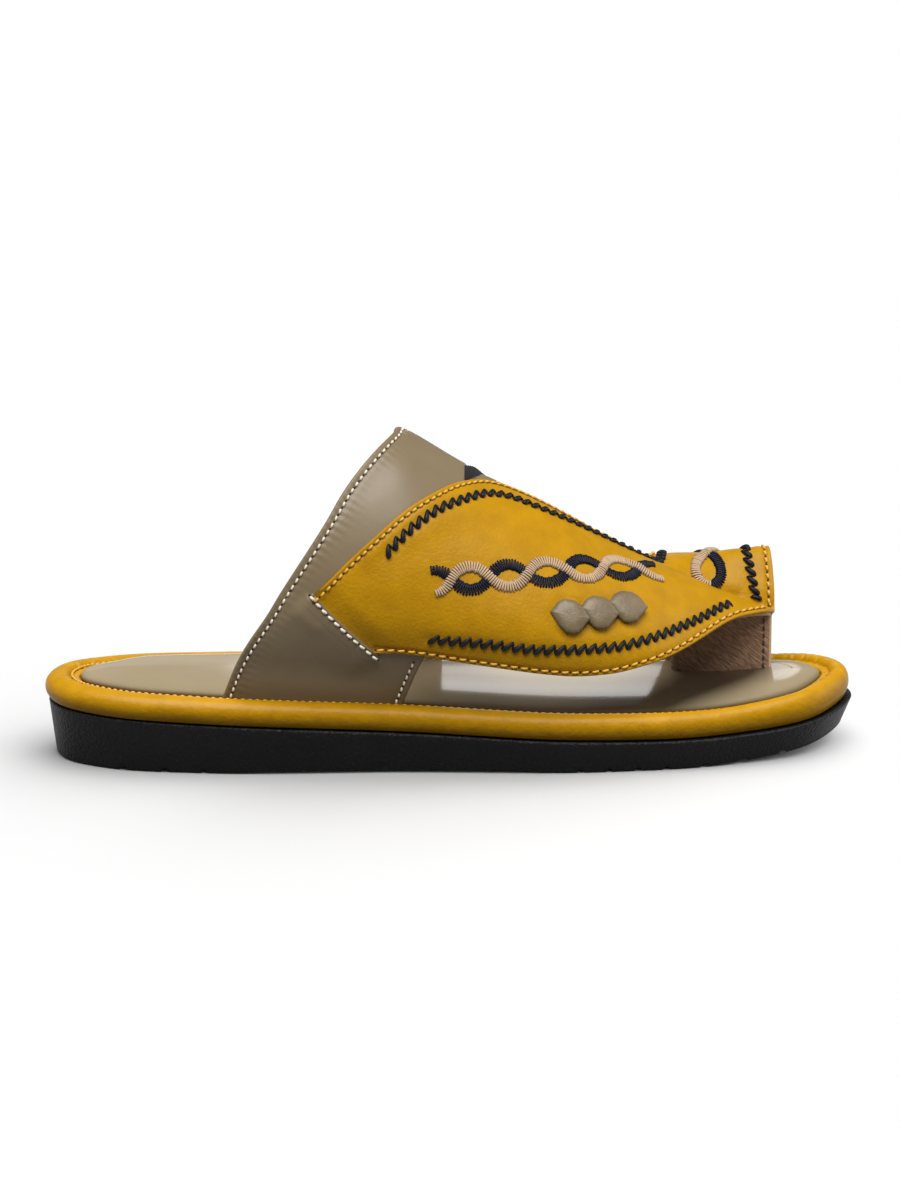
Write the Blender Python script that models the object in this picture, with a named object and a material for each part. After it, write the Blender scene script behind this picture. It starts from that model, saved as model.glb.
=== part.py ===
"""Toe-loop sandal for the right foot: moulded outsole, wrapped rim, insole and a strap upper.

The heel is at -X, the toe at +X, the outer side of the foot at -Y and the floor at Z = 0.
Tables and sizes are in millimetres on a sandal of TABLE_LENGTH and are scaled to LENGTH.
"""

import bmesh
import bpy
import numpy as np

# Driving dimensions
LENGTH = 285.0
TABLE_LENGTH = 285.0
TO_METRES = 0.001 * LENGTH / TABLE_LENGTH

# Clearance between pieces that meet
GAP = 0.3

# Plan of the outsole's top edge: x, y, from the heel along the outer side to the toe and back
OUTLINE = (
    (0.0, 0.0),
    (4.8, -15.5),
    (19.0, -26.0),
    (55.0, -34.2),
    (125.0, -36.5),
    (190.0, -39.2),
    (240.0, -32.5),
    (272.0, -19.5),
    (285.0, 4.0),
    (276.0, 28.5),
    (250.0, 43.5),
    (205.0, 51.0),
    (130.0, 41.0),
    (60.0, 36.0),
    (19.0, 25.0),
    (4.8, 14.8),
)
OUTLINE_OVERLAP = 3
OUTLINE_STEPS = 2880
RING_POINTS = 72
ROOT_POINTS = 432
CAP_COLUMNS = 4

# Outsole: height of its top edge and of its underside, and how far the underside draws in
SOLE_COLUMNS = ("x", "top", "bottom", "draft", "rim_step")
SOLE = np.array(
    (
        (0.0, 20.0, 1.0, 2.2, -1.3),
        (9.0, 19.5, 0.0, 2.0, -1.2),
        (55.0, 17.5, 0.0, 1.4, -0.6),
        (66.0, 17.1, 0.0, 1.4, -0.4),
        (78.0, 16.6, 1.1, 1.4, 0.0),
        (125.0, 14.5, 1.1, 1.4, 0.0),
        (164.0, 12.3, 1.1, 1.4, 0.0),
        (177.0, 11.6, 0.0, 1.4, 0.2),
        (223.0, 10.6, 0.0, 1.8, 0.8),
        (240.0, 11.0, 0.9, 2.2, 1.4),
        (258.0, 12.1, 2.3, 2.8, 2.0),
        (272.0, 13.8, 4.4, 3.2, 2.3),
        (285.0, 17.0, 7.6, 3.4, 2.4),
    )
)
SOLE_EDGE = 0.8

# Cross grooves of the tread: x on the middle line, and width
GROOVES = np.array(
    (
        (24.0, 2.4),
        (39.0, 2.8),
        (53.0, 2.4),
        (184.0, 2.0),
        (194.0, 2.0),
        (204.0, 2.0),
        (214.0, 2.0),
        (227.0, 2.2),
        (240.0, 3.0),
        (254.0, 2.2),
    )
)
GROOVE_DEPTH = 1.4
GROOVE_BELOW = -5.0
GROOVE_BOW = 9.0
GROOVE_REACH = 62.0
GROOVE_STATIONS = 9

# Cross-sections that run round the platform: inset from the outline, height above the outsole's top
RIM_PROFILE = (
    (1.6, 0.3),
    (0.3, 1.5),
    (0.0, 3.6),
    (0.7, 6.0),
    (2.5, 8.1),
    (4.6, 9.0),
    (6.8, 8.6),
    (8.2, 7.7),
    (8.6, 6.2),
)
INSOLE_PROFILE = (
    (12.0, 6.5),
    (11.4, 7.1),
    (11.5, 8.4),
    (12.4, 9.5),
    (14.4, 10.2),
    (18.0, 10.5),
)

# Strap roots stand in the groove between the rim and the insole
STRAP_INSET = 11.1
STRAP_FOOT = 7.1

# Sections of the foot's shape under the straps, from the outer side over the ridge to the inner side.
# Columns: x, then y and z of the side, the ridge, the dip, the shoulder, the crown and the inner side.
# With the two roots in the groove, a section has eight points.
SECTIONS = np.array(
    (
        (60.0, -33.0, 58.0, -2.0, 121.5, 6.0, 120.0, 14.0, 115.5, 22.0, 106.5, 34.0, 62.0),
        (95.0, -36.0, 60.0, -1.0, 118.2, 7.0, 116.7, 15.0, 112.2, 23.0, 103.2, 36.0, 61.0),
        (122.0, -37.0, 58.5, 0.0, 114.2, 8.0, 112.7, 16.0, 108.2, 24.0, 98.8, 37.0, 57.5),
        (139.0, -37.3, 54.2, 0.5, 104.0, 8.5, 102.7, 16.5, 98.7, 24.5, 90.2, 38.5, 54.2),
        (156.0, -37.5, 50.0, 1.0, 94.0, 9.0, 92.8, 17.0, 89.2, 25.0, 81.6, 40.0, 51.0),
        (182.0, -37.0, 44.0, 2.0, 80.4, 9.0, 79.4, 17.0, 76.6, 25.0, 71.3, 43.0, 47.0),
        (206.0, -32.0, 41.0, 3.5, 67.7, 9.5, 66.5, 17.0, 64.8, 26.0, 61.2, 45.0, 44.5),
        (230.0, -19.5, 38.0, 5.5, 55.7, 10.5, 53.8, 15.5, 57.4, 25.5, 61.4, 43.0, 44.5),
        (257.0, -10.0, 35.5, 7.5, 44.0, 11.8, 43.0, 15.4, 51.0, 24.5, 64.0, 39.0, 44.5),
    )
)
SECTION_POINTS = 8

# Steps over which the slope of the foot's shape is taken, along x and in places
X_STEP = 0.4
PLACE_STEP = 0.02

# Wall thickness of the straps, as distances out from the foot's shape
BAND_WALL = (0.0, 1.8)
STRAP_WALL = (0.6, 2.3)
OVERLAY_WALL = (2.6, 3.7)
GORE_WALL = (0.5, 1.4)

# Ahead of the instep band the toe strap comes down onto the foot by this much
STRAP_DROP = 2.1
STRAP_DROP_FROM = 160.0
STRAP_DROP_TO = 205.0

# Instep band. Columns: place in the section (0 outer root, 2 ridge, 7 inner root), x of rear and front edge.
BAND = np.array(
    (
        (0.0, 61.0, 123.5),
        (0.5, 67.5, 130.0),
        (1.0, 79.5, 138.0),
        (1.45, 100.5, 144.0),
        (2.0, 121.5, 148.5),
        (3.0, 123.5, 149.0),
        (5.0, 118.5, 146.0),
        (6.0, 103.0, 143.0),
        (7.0, 91.0, 140.0),
    )
)
BAND_ROWS = 30
BAND_COLUMNS_ACROSS = 7

# Toe strap: its upper edge, which turns into the rear edge of the toe loop, against its lower edge,
# which turns at the tip into the front edge of the toe loop.
# Columns: x and place on the upper edge, x and place on the lower edge.
STRAP = np.array(
    (
        (95.0, 1.07, 116.5, 0.60),
        (105.0, 1.22, 130.0, 0.62),
        (117.0, 1.37, 146.0, 0.63),
        (130.0, 1.55, 163.0, 0.64),
        (143.0, 1.76, 180.0, 0.645),
        (156.0, 1.96, 195.0, 0.69),
        (168.0, 2.08, 207.0, 0.81),
        (180.0, 2.20, 218.0, 0.96),
        (190.0, 2.34, 229.0, 1.16),
        (198.0, 2.55, 240.0, 1.43),
        (203.0, 2.85, 250.5, 1.72),
        (206.5, 3.20, 256.8, 1.96),
        (209.0, 3.60, 258.4, 2.42),
        (211.0, 4.10, 258.2, 3.00),
        (213.0, 4.70, 257.8, 4.00),
        (215.0, 5.40, 257.2, 5.00),
        (218.0, 6.10, 256.5, 6.00),
        (222.0, 7.00, 256.5, 7.00),
    )
)
STRAP_ROWS = 52
STRAP_COLUMNS_ACROSS = 9
OVERLAY_END = 0.985

# The backing shows beyond the leather along the instep: margin in the section, centre and half length in rows
BACKING_MARGIN = 0.26
BACKING_MIDDLE = 0.40
BACKING_HALF = 0.24

# Wall between the first two toes: x of its ends, y of its foot there, thickness
TOE_WALL_ENDS = (228.0, 257.6)
TOE_WALL_FOOT = (17.0, 11.5)
TOE_WALL_THICK = 3.6
TOE_WALL_DEPTH = 6.7
TOE_WALL_STATIONS = 7
TOE_WALL_LEVELS = 5
TOE_WALL_SINK = 0.4
DIP_PLACE = 3.0

# Slot for that wall in the insole: clearance all round, and share of the wall's height that it goes deeper
SLOT_CLEARANCE = 0.4
SLOT_DEEPER = 0.1

# Elastic gore in the notch between band and strap: apex and the two ends of its free edge, as x and place
GORE_APEX = (149.3, 2.12)
GORE_BAND_END = (149.3, 2.85)
GORE_STRAP_END = (166.0, 2.62)
GORE_START = 0.12
GORE_STEPS = 5

# Lozenge patches: name, x and place of the middle
LOZENGES = (
    ("lozenge_rear", 182.5, 1.20),
    ("lozenge_middle", 193.0, 1.25),
    ("lozenge_front", 203.5, 1.31),
)
LOZENGE_HALF_LENGTH = 6.6
LOZENGE_HALF_HEIGHT = 5.9
LOZENGE_SIDES = 20
LOZENGE_RINGS = 3
LOZENGE_POWER = 1.45
LOZENGE_EDGE = 0.5
LOZENGE_RISE = 1.3
LOZENGE_TILT = 2.3

# Leather, rubber and elastic: linear base colour, roughness
YELLOW_LEATHER = ((0.60, 0.30, 0.02), 0.45)
TAUPE_LEATHER = ((0.20, 0.16, 0.11), 0.40)
GLOSSY_TAUPE = ((0.22, 0.18, 0.13), 0.22)
BLACK_SOLE = ((0.012, 0.012, 0.014), 0.60)
BLACK_ELASTIC = ((0.008, 0.008, 0.008), 0.80)


def smooth(at, stations, values):
    """Cubic through a table's rows that keeps flat stretches flat; values may hold several columns."""
    at = np.asarray(at, float)
    steps = np.diff(stations)
    rises = (np.diff(values, axis=0).T / steps).T
    before = rises[:-1]
    after = rises[1:]
    same_way = before * after > 0
    slopes = np.zeros_like(values)
    slopes[0] = rises[0]
    slopes[-1] = rises[-1]
    slopes[1:-1] = np.where(same_way, 2 * before * after / np.where(same_way, before + after, 1), 0)
    row = np.clip(np.searchsorted(stations, at) - 1, 0, len(stations) - 2)
    part = np.clip((at - stations[row]) / steps[row], 0, 1)
    return hermite(part, steps[row], values[row], values[row + 1], slopes[row], slopes[row + 1])


def hermite(part, length, start, end, slope_start, slope_end):
    """Cubic from start to end with the given slopes, at the fraction part of its length."""
    while part.ndim < start.ndim:
        part = part[..., None]
        length = length[..., None]
    rest = 1 - part
    from_points = (1 + 2 * part) * rest**2 * start + part**2 * (3 - 2 * part) * end
    from_slopes = part * rest**2 * slope_start - part**2 * rest * slope_end
    return from_points + length * from_slopes


def through(points, place):
    """Smooth path through points; place counts the points from 0, with fractions in between."""
    points = np.broadcast_to(points, np.shape(place) + points.shape[-2:])
    chords = np.diff(points, axis=-2)
    lengths = np.linalg.norm(chords, axis=-1)[..., None]
    ways = chords / lengths
    slopes = np.empty_like(points)
    slopes[..., 0, :] = ways[..., 0, :]
    slopes[..., -1, :] = ways[..., -1, :]
    before = lengths[..., :-1, :]
    after = lengths[..., 1:, :]
    slopes[..., 1:-1, :] = (ways[..., :-1, :] * after + ways[..., 1:, :] * before) / (before + after)
    row = np.clip(np.floor(place).astype(int), 0, points.shape[-2] - 2)

    def pick(table, index):
        return np.take_along_axis(table, index[..., None, None], -2)[..., 0, :]

    return hermite(
        place - row,
        pick(lengths, row)[..., 0],
        pick(points, row),
        pick(points, row + 1),
        pick(slopes, row),
        pick(slopes, row + 1),
    )


def sole(x, column):
    """One column of the sole's table at x."""
    return smooth(x, SOLE[:, 0], SOLE[:, SOLE_COLUMNS.index(column)])


def outline(count):
    """Evenly spaced points of the plan outline, and the directions that point inwards there."""
    corners = np.array(OUTLINE)
    wrapped = np.concatenate([corners[-OUTLINE_OVERLAP:], corners, corners[: OUTLINE_OVERLAP + 1]])
    place = np.linspace(OUTLINE_OVERLAP, OUTLINE_OVERLAP + len(corners), OUTLINE_STEPS + 1)
    fine = through(wrapped, place)
    run = np.concatenate([[0], np.cumsum(np.linalg.norm(np.diff(fine, axis=0), axis=1))])
    even = np.arange(count) / count * run[-1]
    points = np.stack([np.interp(even, run, fine[:, 0]), np.interp(even, run, fine[:, 1])], 1)
    along = np.roll(points, -1, 0) - np.roll(points, 1, 0)
    along /= np.linalg.norm(along, axis=1)[:, None]
    inwards = np.stack([-along[:, 1], along[:, 0]], 1)
    return points, inwards


def ring(inset, height_of, count=RING_POINTS):
    """Closed loop that runs at an inset from the outline; height_of gives z from its plan x."""
    points, inwards = outline(count)
    plan = points + inwards * np.reshape(inset, (-1, 1))
    return np.column_stack([plan, height_of(plan[:, 0])])


def strap_drop(x):
    """How far the toe strap has come down onto the foot at x."""
    part = np.clip((x - STRAP_DROP_FROM) / (STRAP_DROP_TO - STRAP_DROP_FROM), 0, 1)
    return STRAP_DROP * part * part * (3 - 2 * part)


def root_lines():
    """x and y of the lines on which straps leave the groove, on the outer and the inner side."""
    points, inwards = outline(ROOT_POINTS)
    inset = STRAP_INSET - strap_drop(points[:, 0])
    line = points + inwards * inset[:, None]
    line = np.roll(line, -np.argmin(line[:, 0]), 0)
    toe = np.argmax(line[:, 0])
    return line[: toe + 1], line[toe:][::-1]


OUTER_ROOT, INNER_ROOT = root_lines()


def foot_shape(x, place):
    """Point of the foot's shape at x; place runs over the section from the outer to the inner root."""
    x, place = np.broadcast_arrays(np.asarray(x, float), np.asarray(place, float))
    middle = smooth(x, SECTIONS[:, 0], SECTIONS[:, 1:]).reshape(x.shape + (SECTION_POINTS - 2, 2))
    foot = sole(x, "top") + STRAP_FOOT
    outer = np.stack([np.interp(x, OUTER_ROOT[:, 0], OUTER_ROOT[:, 1]), foot], -1)
    inner = np.stack([np.interp(x, INNER_ROOT[:, 0], INNER_ROOT[:, 1]), foot], -1)
    section = np.concatenate([outer[..., None, :], middle, inner[..., None, :]], -2)
    across = through(section, place)
    return np.concatenate([x[..., None], across], -1)


def off_foot(x, place, distance):
    """Point at a distance out from the foot's shape."""
    last = SECTION_POINTS - 1
    before = np.clip(place - PLACE_STEP, 0, last)
    after = np.clip(place + PLACE_STEP, 0, last)
    along = foot_shape(x + X_STEP, place) - foot_shape(x - X_STEP, place)
    around = foot_shape(x, after) - foot_shape(x, before)
    normal = np.cross(along, around)
    normal /= np.linalg.norm(normal, axis=-1)[..., None]
    return foot_shape(x, place) + normal * np.asarray(distance)[..., None]


def material(name, look):
    """Principled material with a base colour and a roughness."""
    colour, roughness = look
    made = bpy.data.materials.get(name) or bpy.data.materials.new(name)
    made.use_nodes = True
    shader = made.node_tree.nodes["Principled BSDF"]
    shader.inputs["Base Color"].default_value = (*colour, 1.0)
    shader.inputs["Roughness"].default_value = roughness
    return made


def mesh_object(name, points, faces, look=None):
    """Object with outward faces; without a look it is a helper that the solids are cut or joined with."""
    mesh = bpy.data.meshes.new(name)
    mesh.from_pydata((np.asarray(points) * TO_METRES).tolist(), [], faces)
    shaped = bmesh.new()
    shaped.from_mesh(mesh)
    bmesh.ops.recalc_face_normals(shaped, faces=shaped.faces)
    shaped.to_mesh(mesh)
    shaped.free()
    made = bpy.data.objects.new(name, mesh)
    bpy.context.scene.collection.objects.link(made)
    if look is None:
        made.hide_render = True
        made.display_type = "WIRE"
    else:
        mesh.shade_smooth()
        mesh.materials.append(material(*look))
    return made


def combine(target, helper, operation):
    """Boolean of a helper with the target."""
    change = target.modifiers.new(helper.name, "BOOLEAN")
    change.object = helper
    change.operation = operation
    change.solver = "EXACT"


def cap(points, loop, height_of):
    """Fills a ring with rows across the foot; returns the new faces and adds inner points to the list."""
    count = len(loop)
    faces = []
    last_row = [loop[0]] * (CAP_COLUMNS + 2)
    for j in range(1, count // 2 + 1):
        left = loop[j]
        right = loop[(count - j) % count]
        row = [left]
        for k in range(1, CAP_COLUMNS + 1):
            if left == right:
                row.append(left)
                continue
            share = k / (CAP_COLUMNS + 1)
            x, y = (1 - share) * np.array(points[left][:2]) + share * np.array(points[right][:2])
            points.append((x, y, float(height_of(np.array(x)))))
            row.append(len(points) - 1)
        row.append(right)
        for k in range(CAP_COLUMNS + 1):
            corners = [last_row[k], last_row[k + 1], row[k + 1], row[k]]
            faces.append(list(dict.fromkeys(corners)))
        last_row = row
    return faces


def stacked(name, rings, bottom_of, top_of, look):
    """Solid with a skin over a stack of rings, closed below and above by caps of the given heights."""
    count = len(rings[0])
    points = [tuple(p) for loop in rings for p in loop]
    faces = []
    for level in range(len(rings) - 1):
        for i in range(count):
            here = level * count + i
            beside = level * count + (i + 1) % count
            faces.append([here, beside, beside + count, here + count])
    first = list(range(count))
    last = [(len(rings) - 1) * count + i for i in range(count)]
    faces += cap(points, first, bottom_of)
    faces += cap(points, last, top_of)
    return mesh_object(name, points, faces, look)


def wall(name, x, place, between, drop, look=None):
    """Sheet with thickness over a grid of x and place, between two distances from the foot less a drop."""
    under, over = (off_foot(x, place, distance - drop) for distance in between)
    return slab(name, under, over, look)


def slab(name, under, over, look=None):
    """Closed solid between two grids of points of the same shape."""
    rows, columns = under.shape[:2]
    size = rows * columns
    number = np.arange(size).reshape(rows, columns)
    faces = []
    for i in range(rows - 1):
        for j in range(columns - 1):
            quad = [number[i, j], number[i + 1, j], number[i + 1, j + 1], number[i, j + 1]]
            faces.append([int(k) for k in quad])
            faces.append([int(k) + size for k in reversed(quad)])
    border = [*number[0, :-1], *number[:-1, -1], *number[-1, :0:-1], *number[:0:-1, 0]]
    for here, beside in zip(border, border[1:] + border[:1]):
        faces.append([int(here), int(beside), int(beside) + size, int(here) + size])
    points = np.concatenate([under.reshape(-1, 3), over.reshape(-1, 3)])
    return mesh_object(name, points, faces, look)


def make_outsole():
    points, _ = outline(RING_POINTS)
    draft = sole(points[:, 0], "draft")

    def bottom(x):
        return sole(x, "bottom")

    def top(x):
        return sole(x, "top")

    rings = (
        ring(draft + SOLE_EDGE, bottom),
        ring(draft, lambda x: bottom(x) + SOLE_EDGE),
        ring(0.0, lambda x: top(x) - SOLE_EDGE),
        ring(SOLE_EDGE, top),
    )
    made = stacked("outsole", rings, bottom, top, ("black_sole", BLACK_SOLE))
    combine(made, make_grooves(), "DIFFERENCE")
    return made


def make_grooves():
    """Bars across the sole, bowed towards the toe in the middle, that cut the tread."""
    across = np.linspace(-GROOVE_REACH, GROOVE_REACH, GROOVE_STATIONS)
    bow = GROOVE_BOW * (1 - (across / GROOVE_REACH) ** 2) - GROOVE_BOW / 2
    points = []
    faces = []
    for x, width in GROOVES:
        start = len(points)
        roof = float(sole(np.array(x), "bottom")) + GROOVE_DEPTH
        for y, shift in zip(across, bow):
            for side, height in ((-1, GROOVE_BELOW), (1, GROOVE_BELOW), (1, roof), (-1, roof)):
                points.append((x + shift + side * width / 2, y, height))
        for i in range(GROOVE_STATIONS - 1):
            for k in range(4):
                here = start + 4 * i + k
                beside = start + 4 * i + (k + 1) % 4
                faces.append([here, beside, beside + 4, here + 4])
        end = start + 4 * (GROOVE_STATIONS - 1)
        faces.append([start, start + 1, start + 2, start + 3])
        faces.append([end, end + 1, end + 2, end + 3])
    return mesh_object("groove_bars", points, faces)


def make_rim():
    points, _ = outline(RING_POINTS)
    step = sole(points[:, 0], "rim_step")
    insets = np.array(RIM_PROFILE)[:, 0]
    fade = 1 - insets / insets.max()
    rings = [
        ring(inset + step * share, lambda x, rise=height: sole(x, "top") + rise)
        for (inset, height), share in zip(RIM_PROFILE, fade)
    ]
    floor = RIM_PROFILE[-1][1]
    return stacked(
        "rim",
        rings,
        lambda x: sole(x, "top") + GAP,
        lambda x: sole(x, "top") + floor,
        ("yellow_leather", YELLOW_LEATHER),
    )


def make_insole():
    rings = [
        ring(inset, lambda x, rise=height: sole(x, "top") + rise) for inset, height in INSOLE_PROFILE
    ]
    made = stacked(
        "insole",
        rings,
        lambda x: sole(x, "top") + INSOLE_PROFILE[0][1],
        lambda x: sole(x, "top") + INSOLE_PROFILE[-1][1],
        ("glossy_taupe", GLOSSY_TAUPE),
    )
    combine(made, make_toe_wall("toe_wall_slot", SLOT_CLEARANCE, SLOT_DEEPER), "DIFFERENCE")
    return made


def strap_grid(end, margin):
    """x and place over the toe strap's grid, up to a share of its rows; margin widens the upper edge."""
    share = np.minimum(np.linspace(0, 1, STRAP_ROWS), end)
    edges = smooth(share * (len(STRAP) - 1), np.arange(len(STRAP), dtype=float), STRAP)
    swell = np.clip(1 - ((share - BACKING_MIDDLE) / BACKING_HALF) ** 2, 0, 1)
    across = np.linspace(0, 1, STRAP_COLUMNS_ACROSS)
    x = edges[:, [0]] * (1 - across) + edges[:, [2]] * across
    upper = edges[:, [1]] + margin * swell[:, None]
    place = upper * (1 - across) + edges[:, [3]] * across
    return x, place


def make_upper():
    """Instep band, toe strap backing and toe wall, joined into one wall."""
    place = np.linspace(0, SECTION_POINTS - 1, BAND_ROWS)
    edges = smooth(place, BAND[:, 0], BAND[:, 1:])
    across = np.linspace(0, 1, BAND_COLUMNS_ACROSS)
    x = edges[:, [0]] * (1 - across) + edges[:, [1]] * across
    places = np.broadcast_to(place[:, None], x.shape)
    made = wall("upper", x, places, BAND_WALL, 0.0, ("taupe_leather", TAUPE_LEATHER))
    strap_x, strap_place = strap_grid(1.0, BACKING_MARGIN)
    backing = wall("strap_backing", strap_x, strap_place, STRAP_WALL, strap_drop(strap_x))
    combine(made, backing, "UNION")
    combine(made, make_toe_wall("toe_wall"), "UNION")
    return made


def make_toe_wall(name, swell=0.0, deeper=0.0):
    """Upright wall from under the insole's top to the dip between leaf and toe loop.

    swell thickens it all round, and deeper carries its foot down by that share of its height.
    """
    x = np.linspace(TOE_WALL_ENDS[0] - swell, TOE_WALL_ENDS[1] + swell, TOE_WALL_STATIONS)
    foot_y = np.interp(x, TOE_WALL_ENDS, TOE_WALL_FOOT)
    foot_z = sole(x, "top") + TOE_WALL_DEPTH
    head = off_foot(x, np.full(x.shape, DIP_PLACE), STRAP_WALL[0] + TOE_WALL_SINK - STRAP_DROP)
    rise = np.linspace(-deeper, 1, TOE_WALL_LEVELS)
    y = foot_y[:, None] * (1 - rise) + head[:, [1]] * rise
    z = foot_z[:, None] * (1 - rise) + head[:, [2]] * rise
    half = TOE_WALL_THICK / 2 + swell
    across = np.broadcast_to(x[:, None], y.shape)
    near = np.stack([across, y - half, z], -1)
    far = np.stack([across, y + half, z], -1)
    return slab(name, near, far)


def make_overlay():
    """Leather leaf that turns into the toe loop, on top of the strap's backing."""
    x, place = strap_grid(OVERLAY_END, 0.0)
    look = ("yellow_leather", YELLOW_LEATHER)
    return wall("strap_overlay", x, place, OVERLAY_WALL, strap_drop(x), look)


def make_gore():
    """Web in the notch between band and strap, ruled between the two edges from their apex."""
    out = np.linspace(GORE_START, 1, GORE_STEPS)[:, None]
    across = np.linspace(0, 1, GORE_STEPS)
    apex = np.array(GORE_APEX)
    band_side = apex + out * (np.array(GORE_BAND_END) - apex)
    strap_side = apex + out * (np.array(GORE_STRAP_END) - apex)
    x = band_side[:, [0]] * (1 - across) + strap_side[:, [0]] * across
    place = band_side[:, [1]] * (1 - across) + strap_side[:, [1]] * across
    return wall("elastic_gore", x, place, GORE_WALL, strap_drop(x), ("black_elastic", BLACK_ELASTIC))


def make_lozenge(name, x, place):
    """Puffed patch: rings round its middle, domed, and tilted to lie on the next one like a scale."""
    turn = np.arange(LOZENGE_SIDES) / LOZENGE_SIDES * 2 * np.pi
    along = np.cos(turn)
    up = np.sin(turn)
    size = (np.abs(along) ** LOZENGE_POWER + np.abs(up) ** LOZENGE_POWER) ** (-1 / LOZENGE_POWER)
    one_step = foot_shape(x, place + PLACE_STEP) - foot_shape(x, place)
    per_place = np.linalg.norm(one_step) / PLACE_STEP
    radius = np.linspace(1, 0, LOZENGE_RINGS + 1)[:-1, None]
    ring_x = x + radius * size * along * LOZENGE_HALF_LENGTH
    ring_place = place + radius * size * up * LOZENGE_HALF_HEIGHT / per_place
    rise = LOZENGE_EDGE + LOZENGE_RISE * (1 - radius**2)

    def seat(at):
        tilt = LOZENGE_TILT * (at - x + LOZENGE_HALF_LENGTH) / (2 * LOZENGE_HALF_LENGTH)
        return OVERLAY_WALL[1] + GAP + tilt - strap_drop(at)

    under = off_foot(ring_x[0], ring_place[0], seat(ring_x[0]))
    over = off_foot(ring_x, ring_place, seat(ring_x) + rise)
    middle_x = np.array([x])
    middle_place = np.array([place])
    seat_middle = off_foot(middle_x, middle_place, seat(middle_x))
    crown = off_foot(middle_x, middle_place, seat(middle_x) + LOZENGE_EDGE + LOZENGE_RISE)
    points = np.concatenate([under, over.reshape(-1, 3), seat_middle, crown])
    sides = LOZENGE_SIDES
    low = (LOZENGE_RINGS + 1) * sides
    faces = []
    for i in range(sides):
        beside = (i + 1) % sides
        faces.append([low, beside, i])
        for level in range(LOZENGE_RINGS):
            at = level * sides
            faces.append([at + i, at + beside, at + sides + beside, at + sides + i])
        top = LOZENGE_RINGS * sides
        faces.append([top + i, top + beside, low + 1])
    return mesh_object(name, points, faces, ("taupe_leather", TAUPE_LEATHER))


def centre_on_floor(pieces):
    """Parents the pieces to an empty that puts the middle of their box at the origin, on the floor."""
    bpy.context.view_layer.update()
    graph = bpy.context.evaluated_depsgraph_get()
    corners = np.array([c for piece in pieces for c in piece.evaluated_get(graph).bound_box])
    low = corners.min(0)
    high = corners.max(0)
    stand = bpy.data.objects.new("sandal", None)
    bpy.context.scene.collection.objects.link(stand)
    stand.location = (-(low[0] + high[0]) / 2, -(low[1] + high[1]) / 2, -low[2])
    for thing in list(bpy.context.scene.collection.objects):
        if thing is not stand:
            thing.parent = stand


def main():
    for thing in list(bpy.data.objects):
        bpy.data.objects.remove(thing)
    pieces = [make_outsole(), make_rim(), make_insole(), make_upper(), make_overlay(), make_gore()]
    pieces += [make_lozenge(*row) for row in LOZENGES]
    centre_on_floor(pieces)


if __name__ == "__main__":
    main()
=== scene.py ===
"""Toe-loop sandal, dressed: sewn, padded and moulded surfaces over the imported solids.

Sizes are in millimetres of the sandal's own tables: x runs from the heel to the toe, the outer side of
the foot is at -y and z is the height over the floor. place counts across the straps: 0 at the outer root,
2 on the ridge of the instep and 7 at the inner root.
"""

import bpy
import numpy as np
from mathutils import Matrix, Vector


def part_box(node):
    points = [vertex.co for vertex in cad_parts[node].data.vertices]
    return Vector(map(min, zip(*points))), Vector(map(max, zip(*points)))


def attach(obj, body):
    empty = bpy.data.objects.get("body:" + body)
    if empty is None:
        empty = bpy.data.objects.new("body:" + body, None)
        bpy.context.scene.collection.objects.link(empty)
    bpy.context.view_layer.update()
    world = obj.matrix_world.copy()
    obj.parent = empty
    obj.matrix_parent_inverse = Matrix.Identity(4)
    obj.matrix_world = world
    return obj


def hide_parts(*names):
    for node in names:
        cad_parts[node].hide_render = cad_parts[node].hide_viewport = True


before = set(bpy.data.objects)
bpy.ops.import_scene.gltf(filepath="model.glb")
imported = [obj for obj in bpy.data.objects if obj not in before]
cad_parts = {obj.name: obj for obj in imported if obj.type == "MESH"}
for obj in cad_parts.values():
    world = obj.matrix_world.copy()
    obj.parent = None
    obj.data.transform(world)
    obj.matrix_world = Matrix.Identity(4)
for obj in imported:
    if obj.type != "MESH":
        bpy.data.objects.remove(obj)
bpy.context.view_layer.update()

MM_PER_METRE = 1000.0

# Plan of the outsole's top edge: x, y, from the heel along the outer side to the toe and back
OUTLINE = (
    (0.0, 0.0),
    (4.8, -15.5),
    (19.0, -26.0),
    (55.0, -34.2),
    (125.0, -36.5),
    (190.0, -39.2),
    (240.0, -32.5),
    (272.0, -19.5),
    (285.0, 4.0),
    (276.0, 28.5),
    (250.0, 43.5),
    (205.0, 51.0),
    (130.0, 41.0),
    (60.0, 36.0),
    (19.0, 25.0),
    (4.8, 14.8),
)
# Points that the path repeats past its ends so that it closes smoothly, and steps along it
OUTLINE_OVERLAP = 3
OUTLINE_STEPS = 2880
# Outsole: height of its top edge and of its underside, how far the underside draws in, and how far the
# rim's outside lies in from the outline
SOLE_COLUMNS = ("x", "top", "bottom", "draft", "rim_step")
SOLE = np.array(
    (
        (0.0, 20.0, 1.0, 2.2, -1.3),
        (9.0, 19.5, 0.0, 2.0, -1.2),
        (55.0, 17.5, 0.0, 1.4, -0.6),
        (66.0, 17.1, 0.0, 1.4, -0.4),
        (78.0, 16.6, 1.1, 1.4, 0.0),
        (125.0, 14.5, 1.1, 1.4, 0.0),
        (164.0, 12.3, 1.1, 1.4, 0.0),
        (177.0, 11.6, 0.0, 1.4, 0.2),
        (223.0, 10.6, 0.0, 1.8, 0.8),
        (240.0, 11.0, 0.9, 2.2, 1.4),
        (258.0, 12.1, 2.3, 2.8, 2.0),
        (272.0, 13.8, 4.4, 3.2, 2.3),
        (285.0, 17.0, 7.6, 3.4, 2.4),
    )
)
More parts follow.
